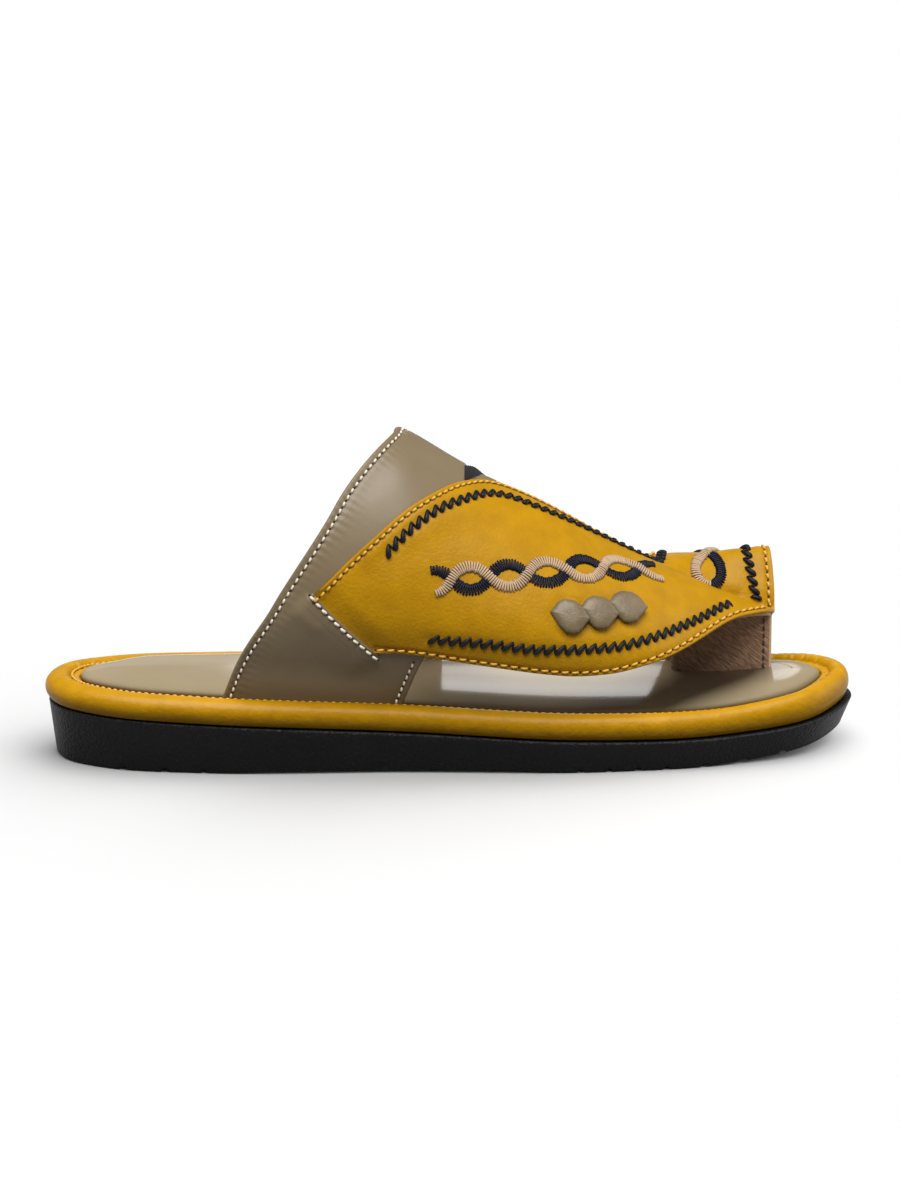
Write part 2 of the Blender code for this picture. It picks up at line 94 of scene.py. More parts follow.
# Rounding of the outsole's edges, steps up its side, and inset of the innermost ring of its top
SOLE_EDGE = 0.8
SOLE_SIDE_STEPS = 8
SOLE_TOP_INSET = 8.0
# Cross grooves of the tread: x on the middle line, and width
GROOVES = np.array(
    (
        (24.0, 2.4),
        (39.0, 2.8),
        (53.0, 2.4),
        (184.0, 2.0),
        (194.0, 2.0),
        (204.0, 2.0),
        (214.0, 2.0),
        (227.0, 2.2),
        (240.0, 3.0),
        (254.0, 2.2),
    )
)
# They bow towards the toe in the middle, and their sides lean over this width
GROOVE_DEPTH = 1.4
GROOVE_BOW = 9.0
GROOVE_REACH = 62.0
GROOVE_EDGE = 0.5
# Strap roots stand in the groove between the rim and the insole: inset, and height over the outsole's top
STRAP_INSET = 11.1
STRAP_FOOT = 7.1

# Sections of the foot's shape under the straps, from the outer side over the ridge to the inner side.
# Columns: x, then y and z of the side, the ridge, the dip, the shoulder, the crown and the inner side.
# With the two roots in the groove, a section has eight points.
SECTIONS = np.array(
    (
        (60.0, -33.0, 58.0, -2.0, 121.5, 6.0, 120.0, 14.0, 115.5, 22.0, 106.5, 34.0, 62.0),
        (95.0, -36.0, 60.0, -1.0, 118.2, 7.0, 116.7, 15.0, 112.2, 23.0, 103.2, 36.0, 61.0),
        (122.0, -37.0, 58.5, 0.0, 114.2, 8.0, 112.7, 16.0, 108.2, 24.0, 98.8, 37.0, 57.5),
        (139.0, -37.3, 54.2, 0.5, 104.0, 8.5, 102.7, 16.5, 98.7, 24.5, 90.2, 38.5, 54.2),
        (156.0, -37.5, 50.0, 1.0, 94.0, 9.0, 92.8, 17.0, 89.2, 25.0, 81.6, 40.0, 51.0),
        (182.0, -37.0, 44.0, 2.0, 80.4, 9.0, 79.4, 17.0, 76.6, 25.0, 71.3, 43.0, 47.0),
        (206.0, -32.0, 41.0, 3.5, 67.7, 9.5, 66.5, 17.0, 64.8, 26.0, 61.2, 45.0, 44.5),
        (230.0, -19.5, 38.0, 5.5, 55.7, 10.5, 53.8, 15.5, 57.4, 25.5, 61.4, 43.0, 44.5),
        (257.0, -10.0, 35.5, 7.5, 44.0, 11.8, 43.0, 15.4, 51.0, 24.5, 64.0, 39.0, 44.5),
    )
)
SECTION_POINTS = 8
# Ahead of the instep band the toe strap comes down onto the foot: how far, and between which x
STRAP_DROP = 2.1
STRAP_DROP_X = (160.0, 205.0)

# Instep band. Columns: place in the section (0 outer root, 2 ridge, 7 inner root), x of rear and front edge.
BAND = np.array(
    (
        (0.0, 61.0, 123.5),
        (0.5, 67.5, 130.0),
        (1.0, 79.5, 138.0),
        (1.45, 100.5, 143.2),
        (2.0, 121.5, 146.0),
        (3.0, 123.5, 147.0),
        (5.0, 118.5, 146.0),
        (6.0, 103.0, 143.0),
        (7.0, 91.0, 140.0),
    )
)
# Toe strap: its upper edge, which turns into the rear edge of the toe loop, against its lower edge,
# which turns at the tip into the front edge of the toe loop.
# Columns: x and place on the upper edge, x and place on the lower edge.
UPPER = slice(0, 2)
LOWER = slice(2, 4)
STRAP = np.array(
    (
        (92.0, 1.035, 113.5, 0.60),
        (105.0, 1.22, 130.0, 0.62),
        (117.0, 1.37, 146.0, 0.63),
        (130.0, 1.55, 163.0, 0.64),
        (143.0, 1.76, 180.0, 0.645),
        (156.0, 1.96, 195.0, 0.69),
        (168.0, 2.08, 207.0, 0.81),
        (180.0, 2.20, 218.0, 0.96),
        (190.0, 2.34, 229.0, 1.16),
        (198.0, 2.55, 240.0, 1.43),
        (203.0, 2.85, 250.5, 1.72),
        (206.5, 3.20, 255.0, 1.95),
        (209.0, 3.60, 256.8, 2.40),
        (211.0, 4.10, 257.6, 3.00),
        (213.0, 4.70, 257.8, 4.00),
        (215.0, 5.40, 257.2, 5.00),
        (218.0, 6.10, 256.5, 6.00),
        (222.0, 7.00, 256.5, 7.00),
    )
)

# The lining shows beyond the leather along the instep: margin in place, middle and half length as shares
# of the strap's rows
MARGIN_WIDTH = 0.26
MARGIN_MIDDLE = 0.40
MARGIN_HALF = 0.24
# Wall between the first two toes: x of its ends, y of its foot there, thickness, height of its foot over the
# outsole's top, place of its head and how far that lies inside the lining's face
TOE_WALL_ENDS = (221.5, 256.8)
TOE_WALL_FOOT = (17.0, 11.5)
TOE_WALL_THICK = 3.6
TOE_WALL_BASE = 6.7
DIP_PLACE = 3.0
TOE_WALL_HEAD = 1.0
# Its columns and rows, and the columns on each side of its front edge that show the cut
TOE_WALL_COLUMNS = 60
TOE_WALL_ROWS = 40
TOE_WALL_CUT = 4
# Elastic gore in the notch between band and strap: apex and the two ends of its free edge, as x and place
GORE_APEX = (145.3, 1.78)
GORE_BAND_END = (145.8, 2.85)
GORE_STRAP_END = (168.0, 2.62)
# It starts just off the apex and reaches under both neighbours, in shares of its sides
GORE_OUT = (0.05, 1.0)
GORE_ACROSS = (-0.12, 1.12)
GORE_STEPS = 60
# Distances of its two sides out from the last, ribs, and the bulge that stands up behind the leaf
GORE_BACK = 0.3
GORE_FACE = 1.3
GORE_RIBS = 12
GORE_RIB_HEIGHT = 0.22
GORE_BULGE = 1.7
GORE_BULGE_START = (0.0, 0.3)
GORE_BULGE_END = (0.55, 0.25)

# Lattice on which the last under the straps is worked out, and how far it is softened in samples
LAST_X = np.arange(50.0, 262.1, 0.5)
LAST_PLACE = np.linspace(0.0, SECTION_POINTS - 1.0, 351)
LAST_SOFT_X = 10.0
LAST_SOFT_PLACE = 6.0
# A reading stays this many samples short of the lattice's length, which is inside its last cell
LAST_END = 1.001
# Steps of x and place to either side over which slopes are taken
SLOPE_X = 0.5
SLOPE_PLACE = 0.02

# Softening of the plan outline and of the sole's heights, in mm
OUTLINE_SOFT = 3.0
SOLE_SOFT = 6.0
SOLE_X = np.arange(-15.0, 300.1, 0.5)

# Steps of paths on the last, in mm, and samples from which they are taken: per row of a table, across a
# strap, and along the edges of the band and of the strap
FINE_STEP = 0.5
PATH_STEP = 0.6
BAND_STEP = 0.75
CREASE_STEP = 1.0
PATH_SAMPLES = 40
CHAIN_SAMPLES = 60
ROW_SAMPLES = 33
BAND_SAMPLES = 800
STRAP_SAMPLES = 900
EDGE_SAMPLES = 1200

# Columns over the face and over the back of the sewn sheets, and rows along the strap
BAND_COLUMNS = (84, 14)
LEATHER_COLUMNS = (96, 12)
LINING_COLUMNS = (30, 30)
LEATHER_ROWS = 420
LINING_ROWS = 320

# Points of the rings round the platform, columns across it and turns of a rounded edge
SOLE_COUNT = 960
RIM_COUNT = 960
INSOLE_COUNT = 720
FILL_COLUMNS = 60
EDGE_TURNS = 6

# Rim of padded leather: inset from the outline and height over the outsole's top, up to its turned-in margin
RIM_PROFILE = (
    (2.0, 0.3),
    (1.1, 0.8),
    (0.8, 1.3),
    (0.45, 1.9),
    (0.1, 3.0),
    (0.0, 4.2),
    (0.25, 5.6),
    (1.0, 7.0),
    (2.2, 8.1),
    (3.6, 8.75),
    (4.8, 9.0),
    (6.2, 8.8),
    (7.3, 8.1),
    (8.0, 7.3),
    (8.8, 7.5),
    (9.8, 7.5),
    (10.7, 7.2),
    (10.9, 6.3),
)
RIM_LEVELS = 64
# Gathers of the rim's leather: share, length in mm and phase of each wave
PLEAT_WAVES = np.array(((1.0, 4.7, 0.0), (0.7, 3.1, 1.3), (0.6, 7.9, 0.4)))
# They grow round the toe and the heel between these x and y, with this share at the heel and elsewhere
PLEATS_TOE_X = (236.0, 262.0)
PLEATS_TOE_Y = (-26.0, -8.0)
PLEATS_HEEL_X = (22.0, 4.0)
PLEATS_HEEL = 0.8
PLEATS_REST = 0.06
# Depth of the gathers, inset of their middle, reach to either side and lowest height on the rim
PLEAT_DEPTH = 0.5
PLEAT_INSET = 7.0
PLEAT_REACH = 2.6
PLEAT_LOWEST = 6.4
# Stitches in the rim's crease: inset and height, number, points of the outline per stitch
RIM_SEAM_INSET = 8.2
RIM_SEAM_HEIGHT = 7.75
RIM_STITCHES = 240
RIM_STITCH_POINTS = 4

# Cushion of the insole: inset from the outline and height over the outsole's top
INSOLE_PROFILE = (
    (12.4, 6.4),
    (11.4, 7.0),
    (11.3, 7.6),
    (11.5, 8.3),
    (12.1, 8.9),
    (13.4, 9.45),
    (15.6, 9.95),
    (18.4, 10.4),
    (21.5, 10.75),
)
INSOLE_LEVELS = 30
# Its top is crowned by this much, over this distance from the shoulder
INSOLE_CROWN = 1.0
INSOLE_CROWN_REACH = 12.0
# It stands higher along the inner arch: how much, across which y, and where that starts and ends in x
ARCH_LIFT = 1.5
ARCH_Y = (-18.0, 18.0)
ARCH_REAR_X = (12.0, 37.0)
ARCH_FRONT_X = (130.0, 90.0)
# Rim and insole rise at the toe: how much, between which x, and over which heights of their profiles;
# the rim spreads outwards by a share of it
TOE_LIFT = 1.8
TOE_LIFT_X = (232.0, 274.0)
INSOLE_LIFT_HEIGHTS = (6.4, 10.4)
RIM_LIFT_HEIGHT = 8.0
RIM_SPREAD = 0.7

# Distances out from the last of the sewn layers
BAND_FACE = 1.8
LINING_BACK = 0.6
LINING_FACE = 2.2
LEATHER_BACK = 1.9
LEATHER_FACE = 3.7
# The lining ends this far inside the leather's edges, apart from its margin
LINING_INSET = 0.6
# Behind the band's front edge the lining slips under the band: how far, and between which x
LINING_SLIP = 0.8
LINING_SLIP_X = (149.5, 152.5)

# Panel edge that covers the rear end of the leaf: x and place along it, distance out from the last,
# thickness, and width over which the band rises to it
SEAM_EDGE = ((91.6, 1.09), (94.0, 1.045), (100.9, 0.905), (107.9, 0.745), (115.8, 0.565), (119.0, 0.49))
SEAM_FACE = 3.3
SEAM_THICK = 0.8
SEAM_WIDTH = 20.0
# Strip that makes the crisp edge: width, columns, height over the risen band, lengths over which the rise
# ends, and how far the strip's two ends sink
SEAM_STRIP = 6.0
SEAM_COLUMNS = 40
SEAM_SEAT = 0.05
SEAM_FADES = (5.0, 10.0)
SEAM_SINK = 0.7
# Its rear side is tucked into the band by this much over these shares of its width, its back lies this far
# inside the band's face, and its front is rounded over this width by this share of its thickness
SEAM_TUCK = 0.5
SEAM_TUCK_SHARES = (0.75, 1.0)
SEAM_BURIED = 0.3
SEAM_ROUND = 0.9
SEAM_ROUND_SHARE = 0.8
# The band's own face comes up to the strip between these distances behind the edge
SEAM_RISE = (0.8, 2.4)
# The leaf dips under the panel edge by this much over this distance
SEAM_DIP = 1.2
SEAM_DIP_REACH = 9.0

# Threads: sides and rings of each, height as a share of the width, the power that keeps the radius full,
# the least share at a tip, and the power of thinning towards an end
THREAD_SIDES = 8
THREAD_RINGS = 9
THREAD_HEIGHT = 0.85
THREAD_FULLNESS = 3.5
THREAD_TIP = 0.02
THREAD_THINNING = 1.5
# Stitches: share of the pitch that each covers, height of its ends, rise half way and radius
BAND_STITCH = (0.64, -0.2, 0.4, 0.42)
SEAM_STITCH = (0.74, -0.15, 0.5, 0.55)
CREST_STITCH = (0.64, -0.1, 0.35, 0.42)
LEAF_STITCH = (0.7, -0.25, 0.45, 0.46)
# Stitches without a pitch: height of their ends, rise half way and radius
RIM_STITCH = (-0.1, 0.4, 0.5)
WALL_STITCH = (0.0, 0.25, 0.4)
# The two ends of a stitch lie this far to opposite sides of its row
STITCH_SLANT = 0.16
# Dark beads that paint the shade in the needle holes: radius and height, then the rise and the height share
# of all
BAND_HOLE = (0.42, -0.3)
SEAM_HOLE = (0.45, -0.3)
LEAF_HOLE = (0.42, -0.33)
HOLE_RISE = 0.05
HOLE_HEIGHT = 0.4
# Rows on the band's rear and front edges: first and last place, samples and offset from the edge
BAND_PITCH = 2.8
BAND_ROWS = ((0.06, 6.9, 900, -2.5), (0.02, 0.5, 80, 2.6))
# Row along the panel edge: which of its points, and offset
SEAM_PITCH = 3.2
SEAM_ROW = slice(4, -8)
SEAM_ROW_OFFSET = -1.2
# Rows of the leaf's upper edge, its lower edge and the toe loop's front: edge, first and last row of the
# strap, offset from the edge and pitch
LEAF_ROWS = (
    (UPPER, 0.0, 16.8, -1.8, 2.9),
    (LOWER, 0.05, 10.9, 1.8, 3.6),
    (LOWER, 12.6, 16.8, 2.2, 3.0),
)
# Row on the lining's margin over the instep: first and last row of the strap, and samples
CREST_ROW = (5.0, 9.5, 200)
# Row up the toe wall: first and last share of its height, stitches, distance behind its front edge, and
# the shares of a pitch between which a stitch lies
WALL_ROW = (0.1, 0.95)
WALL_STITCHES = 8
WALL_ROW_INSET = 3.0
WALL_STITCH_SHARES = (0.1, 0.85)

# What sewing and embroidery draw in: depth and half width of the trough
REAR_PULL = (0.35, 1.1)
FRONT_PULL = (0.3, 1.1)
SEAM_PULL = (0.3, 1.0)
LEAF_PULL = (0.4, 1.0)
ZIGZAG_PULL = (0.35, 2.4)
CHAIN_PULL = (0.3, 8.0)
PATCH_PULL = (0.4, 1.6)
# Radius of the trough round a patch
PATCH_PULL_RADIUS = 6.6
# Gathers of the band along its rear stitch row: depth and reach
GATHER_DEPTH = 0.09
GATHER_REACH = 4.5

# Soft creases of the instep band: x and place along them, depth (below zero a ridge) and half width
BAND_CREASES = (
    (((84.0, 1.02), (88.5, 0.93), (94.0, 0.82)), -0.3, 2.4),
    (((72.0, 0.42), (90.0, 0.36), (112.0, 0.30)), 0.35, 6.0),
    (((112.0, 1.55), (122.0, 1.72), (132.0, 1.84)), 0.3, 4.0),
)
# Soft creases of the yellow strap: x and place along them, depth (below zero a ridge) and half width
STRAP_CREASES = (
    (((112.0, 1.18), (128.0, 1.30), (150.0, 1.52), (172.0, 1.66)), 0.35, 5.0),
    (((124.0, 0.66), (140.0, 0.70), (160.0, 0.78), (176.0, 0.84)), 0.3, 5.0),
    (((206.0, 1.45), (222.0, 1.55), (236.0, 1.75)), 0.4, 5.0),
    (((150.0, 1.05), (164.0, 1.10), (174.0, 1.12)), -0.25, 6.0),
    (((217.0, 2.30), (230.0, 2.30), (245.0, 2.40)), -0.5, 1.9),
    (((219.0, 2.85), (230.0, 2.92), (243.0, 3.00)), 1.1, 2.3),
)

# Chain of two strands: x and place of its ends, crossings and eyes, half a link apart
LEAF_CHAIN = (
    (134.0, 1.19),
    (140.0, 1.235),
    (146.5, 1.265),
    (153.0, 1.30),
    (159.5, 1.34),
    (166.0, 1.38),
    (173.0, 1.43),
    (180.0, 1.48),
    (186.5, 1.535),
    (193.0, 1.59),
    (199.5, 1.65),
    (206.5, 1.72),
    (213.5, 1.78),
)
LOOP_CHAIN = ((233.5, 3.3), (234.0, 4.1), (235.0, 4.94), (235.5, 5.6), (236.0, 6.3))
# Each chain: its rows, swing to either side in mm, phase at its start and seed of its unevenness
CHAINS = ((LEAF_CHAIN, 4.05, -0.5, 3), (LOOP_CHAIN, 4.7, 0.0, 7))
# Half width of a strand, and the share of it that is left at the ends, over so many rows
CHAIN_HALF_WIDTH = 1.85
CHAIN_END_SHARE = 0.7
CHAIN_END_ROWS = 0.6
# At a crossing, over this share of a link, the beige strand rises and the navy one sinks
CROSSING_SHARE = 0.16
CROSSING_RISE = 0.75
CROSSING_SINK = 0.2
# Embroidery thread: spacing of neighbouring threads, thread radius, height of the bowed strand and of its
# ends, how much reach and height vary, points along a thread, its sides and its height share
SATIN_SPACING = 0.86
SATIN_RADIUS = 0.38
SATIN_BOW = 0.7
SATIN_SEAT = -0.25
SATIN_RAGGED = 0.12
SATIN_UNEVEN = 0.08
SATIN_POINTS = 7
SATIN_SIDES = 6
SATIN_HEIGHT = 0.9

# Zigzags along the leaf's upper side and the rear of the toe loop, along the leaf's lower side, and along the
# front of the toe loop: x and place
UPPER_ZIGZAG = (
    (117.5, 1.26),
    (122.5, 1.34),
    (129.0, 1.44),
    (135.5, 1.54),
    (144.5, 1.66),
    (153.0, 1.78),
    (160.0, 1.84),
    (167.5, 1.87),
    (176.5, 1.91),
    (185.5, 1.96),
    (197.0, 2.06),
    (207.5, 2.22),
    (211.5, 2.6),
    (214.5, 3.2),
    (216.5, 4.0),
    (218.5, 5.0),
    (221.0, 6.0),
    (224.0, 6.8),
)
LOWER_ZIGZAG = (
    (132.5, 0.82),
    (143.5, 0.86),
    (157.0, 0.90),
    (167.0, 0.92),
    (177.5, 0.96),
    (187.5, 1.00),
    (198.0, 1.04),
    (208.5, 1.12),
    (219.5, 1.24),
    (229.5, 1.40),
    (239.5, 1.68),
)
LOOP_ZIGZAG = ((251.2, 3.0), (250.5, 3.6), (249.5, 4.22), (248.5, 5.02), (248.5, 6.0), (248.5, 6.8))
# Their pitch, half width, and how far a stroke's head lies ahead of its foot
ZIGZAG_PITCH = 3.65
ZIGZAG_HALF_WIDTH = 1.8
ZIGZAG_LEAN = 3.6
# Thick strokes and the thin links between them: height of their ends, rise half way and radius
ZIGZAG_STROKE = (-0.1, 0.6, 1.12)
ZIGZAG_LINK = (-0.1, 0.3, 0.36)
# Share of its radius that a stroke loses towards its head
STROKE_THINNING = 0.6

# Puffed patches, from the rear one to the front one: name, solid, x and place of the middle
PATCHES = (
    ("patch_rear", "lozenge_rear", 180.5, 1.20),
    ("patch_middle", "lozenge_middle", 190.6, 1.26),
    ("patch_front", "lozenge_front", 200.8, 1.335),
)
# Outline of a patch in shares of its half length and half height, from its rear point over the top
PATCH_PLAN = (
    (-1.0, 0.08),
    (-0.62, 0.72),
    (-0.3, 0.97),
    (0.2, 1.0),
    (0.55, 0.8),
    (1.0, 0.08),
    (0.66, -0.5),
    (0.4, -0.9),
    (0.1, -1.0),
    (-0.2, -0.97),
    (-0.55, -0.62),
)
PATCH_HALF_LENGTH = 6.7
PATCH_HALF_HEIGHT = 5.9
# Rise of the dome, of the front over the rear, of the seat over the leather, and depth of the flange
PATCH_RISE = 1.8
PATCH_TILT = 1.9
PATCH_SEAT = 0.15
PATCH_FLANGE = 0.5
# Points of the outline and their softening in samples, rings, and angle of the innermost ring
PATCH_SIDES = 156
PATCH_SOFT = 0.7
PATCH_RINGS = 24
PATCH_INNERMOST = 0.02

# Where the tables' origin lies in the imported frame: the outsole's low corner there less that in the tables
OUTSOLE_LOW = np.array((0.0, -39.482, 0.0))
TABLE_TO_FRAME = np.array(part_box("outsole")[0]) * MM_PER_METRE - OUTSOLE_LOW

# Camera: degrees towards the toe and above the floor, distance in metres, lens and sensor in mm, and what it
# looks at in the tables' millimetres
CAMERA_AZIMUTH = -2.5
CAMERA_ELEVATION = 14.5
CAMERA_DISTANCE = 1.5
CAMERA_LENS = 127.9
CAMERA_SENSOR = 36.0
CAMERA_AIM = (141.5, 0.0, 52.8)

# Lights: strength of the surroundings, then the suns: name, strength, width and turns in radians, what each
# lights and whether glossy surfaces mirror it
WORLD_STRENGTH = 0.2
SUNS = (
    ("upper_sun", 5.2, 0.9, (0.47, -0.03, 0.0), "upper", True),
    ("rim_sun", 6.7, 0.9, (0.2, -0.03, 0.0), "rim", True),
    ("insole_sun", 5.8, 0.7, (-0.2, 0.0, 0.0), "insole", False),
    ("floor_sun", 4.15, 2.0, (-0.1, 0.6, 0.0), "floor", True),
)
# Suns shine the same from anywhere
SUN_PLACE = (0.0, 0.0, 1.0)
# Bright panels: name, middle in metres, turns in radians, width and height in metres, radiance, what each
# lights
PANELS = (
    ("rear_upper_panel", (0.102, 1.3, 0.575), (-1.571, 0.0, 0.0), (0.322, 0.21), 2.4, "sandal"),
    ("rear_lower_panel", (0.102, 1.3, 0.35), (-1.571, 0.0, 0.0), (0.322, 0.24), 1.3, "sandal"),
    ("rear_heel_panel", (-0.21, 1.3, 0.29), (-1.571, 0.0, 0.0), (0.33, 0.34), 0.3, "sandal"),
    ("toe_panel", (1.2, 0.1, 0.5), (1.571, 0.0, 1.571), (1.2, 1.0), 2.2, "sides"),
    ("heel_panel", (-1.2, 0.1, 0.5), (1.571, 0.0, -1.571), (1.2, 1.0), 0.6, "sides"),
)
# What a light reaches: pieces, and whether it lights only them or all but them
REACHES = {
    "upper": (("floor", "insole_cushion", "padded_rim", "outsole_moulding"), "EXCLUDE"),
    "rim": (("padded_rim", "outsole_moulding"), "INCLUDE"),
    "insole": (("insole_cushion",), "INCLUDE"),
    "floor": (("floor",), "INCLUDE"),
    "sandal": (("floor",), "EXCLUDE"),
    "sides": (("floor", "insole_cushion"), "EXCLUDE"),
}
# Half the floor's width in metres
FLOOR_REACH = 6.0

# Patterns of the materials: noise amounts between which tones run, and detail of tones and of pores
TONE_SPAN = (0.3, 0.7)
TONE_DETAIL = 4.0
PORE_DETAIL = 3.0


def smooth(at, stations, values):
    """Cubic through a table's rows that keeps flat stretches flat; values may hold several columns."""
    at = np.asarray(at, float)
    steps = np.diff(stations)
    rises = (np.diff(values, axis=0).T / steps).T
    before = rises[:-1]
    after = rises[1:]
    same_way = before * after > 0
    slopes = np.zeros_like(values)
    slopes[0] = rises[0]
    slopes[-1] = rises[-1]
    slopes[1:-1] = np.where(same_way, 2 * before * after / np.where(same_way, before + after, 1), 0)
    row = np.clip(np.searchsorted(stations, at) - 1, 0, len(stations) - 2)
    part = np.clip((at - stations[row]) / steps[row], 0, 1)
    return hermite(part, steps[row], values[row], values[row + 1], slopes[row], slopes[row + 1])


def hermite(part, length, start, end, slope_start, slope_end):
    """Cubic from start to end with the given slopes, at the fraction part of its length."""
    while part.ndim < start.ndim:
        part = part[..., None]
        length = length[..., None]
    rest = 1 - part
    from_points = (1 + 2 * part) * rest**2 * start + part**2 * (3 - 2 * part) * end
    from_slopes = part * rest**2 * slope_start - part**2 * rest * slope_end
    return from_points + length * from_slopes


def through(points, place):
    """Smooth path through points; place counts the points from 0, with fractions in between."""
    points = np.broadcast_to(points, np.shape(place) + points.shape[-2:])
    chords = np.diff(points, axis=-2)
    lengths = np.linalg.norm(chords, axis=-1)[..., None]
    ways = chords / lengths
    slopes = np.empty_like(points)
    slopes[..., 0, :] = ways[..., 0, :]
    slopes[..., -1, :] = ways[..., -1, :]
    before = lengths[..., :-1, :]
    after = lengths[..., 1:, :]
    slopes[..., 1:-1, :] = (ways[..., :-1, :] * after + ways[..., 1:, :] * before) / (before + after)
    row = np.clip(np.floor(place).astype(int), 0, points.shape[-2] - 2)

    def pick(table, index):
        """Rows of a table at one index per point."""
        return np.take_along_axis(table, index[..., None, None], -2)[..., 0, :]

    return hermite(
        place - row,
        pick(lengths, row)[..., 0],
        pick(points, row),
        pick(points, row + 1),
        pick(slopes, row),
        pick(slopes, row + 1),
    )


def soften(values, sigma, axis=0, closed=False):
    """Gaussian mean out to four sigma, in samples; an open end goes on turned about its last value."""
    reach = int(4 * sigma) + 1
    weights = np.exp(-0.5 * (np.arange(-reach, reach + 1) / sigma) ** 2)
    weights /= weights.sum()
    values = np.moveaxis(values, axis, 0)
    count = len(values)
    if closed:
        longer = np.concatenate([values[-reach:], values, values[:reach]])
    else:
        before = 2 * values[0] - values[reach:0:-1]
        after = 2 * values[-1] - values[-2 : -reach - 2 : -1]
        longer = np.concatenate([before, values, after])
    mean = sum(weight * longer[i : i + count] for i, weight in enumerate(weights))
    return np.moveaxis(mean, 0, axis)


SOLE_TABLE = soften(smooth(SOLE_X, SOLE[:, 0], SOLE), SOLE_SOFT / (SOLE_X[1] - SOLE_X[0]))


def sole(x, column):
    """One column of the sole's table at x, softened."""
    return np.interp(x, SOLE_X, SOLE_TABLE[:, SOLE_COLUMNS.index(column)])


def ease(share):
    """Rises from 0 to 1 with level ends."""
    share = np.clip(share, 0, 1)
    return share * share * (3 - 2 * share)


def climb(value, start, end):
    """Rises from 0 at start to 1 at end with level ends; the end may lie below the start."""
    return ease((value - start) / (end - start))


def blend(first, last, share):
    """Mix of two values: the first one at share 0, the last one at share 1."""
    return first * (1 - share) + last * share


def unit(vectors):
    """Vectors of length one."""
    return vectors / np.linalg.norm(vectors, axis=-1, keepdims=True)


def length_along(points):
    """Running length of a line of points."""
    return np.concatenate([[0], np.cumsum(np.linalg.norm(np.diff(points, axis=0), axis=1))])


def resample(points, run, at):
    """Rows of two columns read at running lengths."""
    return np.stack([np.interp(at, run, points[:, k]) for k in (0, 1)], 1)


def rows_at(rows, at):
    """Cubic through a table's rows, read at fractional row numbers."""
    rows = np.array(rows, float)
    return smooth(at, np.arange(len(rows), dtype=float), rows)


def outline(count):
    """Evenly spaced points of the softened plan outline, and the directions that point inwards there."""
    corners = np.array(OUTLINE)
    wrapped = np.concatenate([corners[-OUTLINE_OVERLAP:], corners, corners[: OUTLINE_OVERLAP + 1]])
    place = np.linspace(OUTLINE_OVERLAP, OUTLINE_OVERLAP + len(corners), OUTLINE_STEPS + 1)
    fine = through(wrapped, place)
    run = length_along(fine)
    points = resample(fine, run, np.arange(count) / count * run[-1])
    points = soften(points, OUTLINE_SOFT / (run[-1] / count), closed=True)
    along = unit(np.roll(points, -1, 0) - np.roll(points, 1, 0))
    inwards = np.stack([-along[:, 1], along[:, 0]], 1)
    return points, inwards


def strap_drop(x):
    """How far the toe strap has come down onto the foot at x."""
    return STRAP_DROP * climb(x, *STRAP_DROP_X)


def root_lines():
    """x and y of the lines on which straps leave the groove, on the outer and the inner side."""
    points, inwards = outline(SOLE_COUNT)
    inset = STRAP_INSET - strap_drop(points[:, 0])
    line = points + inwards * inset[:, None]
    line = np.roll(line, -np.argmin(line[:, 0]), 0)
    toe = np.argmax(line[:, 0])
    return line[: toe + 1], line[toe:][::-1]


def make_last():
    """Lattice over x and place of points on the last, softened, and of the directions out of it.

    A section is a smooth path from the outer root through the table's points to the inner root.
    """
    outer_root, inner_root = root_lines()
    x, place = np.meshgrid(LAST_X, LAST_PLACE, indexing="ij")
    middle = smooth(x, SECTIONS[:, 0], SECTIONS[:, 1:]).reshape(x.shape + (SECTION_POINTS - 2, 2))
    foot = sole(x, "top") + STRAP_FOOT
    outer = np.stack([np.interp(x, outer_root[:, 0], outer_root[:, 1]), foot], -1)
    inner = np.stack([np.interp(x, inner_root[:, 0], inner_root[:, 1]), foot], -1)
    section = np.concatenate([outer[..., None, :], middle, inner[..., None, :]], -2)
    points = np.concatenate([x[..., None], through(section, place)], -1)
    points = soften(soften(points, LAST_SOFT_X, 0), LAST_SOFT_PLACE, 1)
    out = unit(np.cross(np.gradient(points, axis=0), np.gradient(points, axis=1)))
    return np.concatenate([points, out], -1)


LAST = make_last()


def on_last(x, place, distance=0.0):
    """Point at a distance out from the last, read from the lattice between its nearest points."""
    x, place, distance = np.broadcast_arrays(x, place, distance)
    column = np.clip((x - LAST_X[0]) / (LAST_X[1] - LAST_X[0]), 0, len(LAST_X) - LAST_END)
    row = np.clip(place / (LAST_PLACE[1] - LAST_PLACE[0]), 0, len(LAST_PLACE) - LAST_END)
    i = column.astype(int)
    j = row.astype(int)
    u = (column - i)[..., None]
    low = blend(LAST[i, j], LAST[i + 1, j], u)
    high = blend(LAST[i, j + 1], LAST[i + 1, j + 1], u)
    read = blend(low, high, (row - j)[..., None])
    return read[..., :3] + read[..., 3:] * distance[..., None]


def band_face(x, place):
    """Point on the outside of the instep band."""
    return on_last(x, place, BAND_FACE)


def seam_face(x, place):
    """Point on the panel edge where it covers the leaf's rear end."""
    return on_last(x, place, SEAM_FACE)


def strap_face(x, place):
    """Point on the outside of the yellow strap, before its relief."""
    return on_last(x, place, LEATHER_FACE - strap_drop(x))


def lining_face(x, place):
    """Point on the outside of the strap's lining."""
    return on_last(x, place, LINING_FACE - strap_drop(x))


def line_on(surface, path):
    """Points on a surface of a path or grid of x and place."""
    return surface(path[..., 0], path[..., 1])


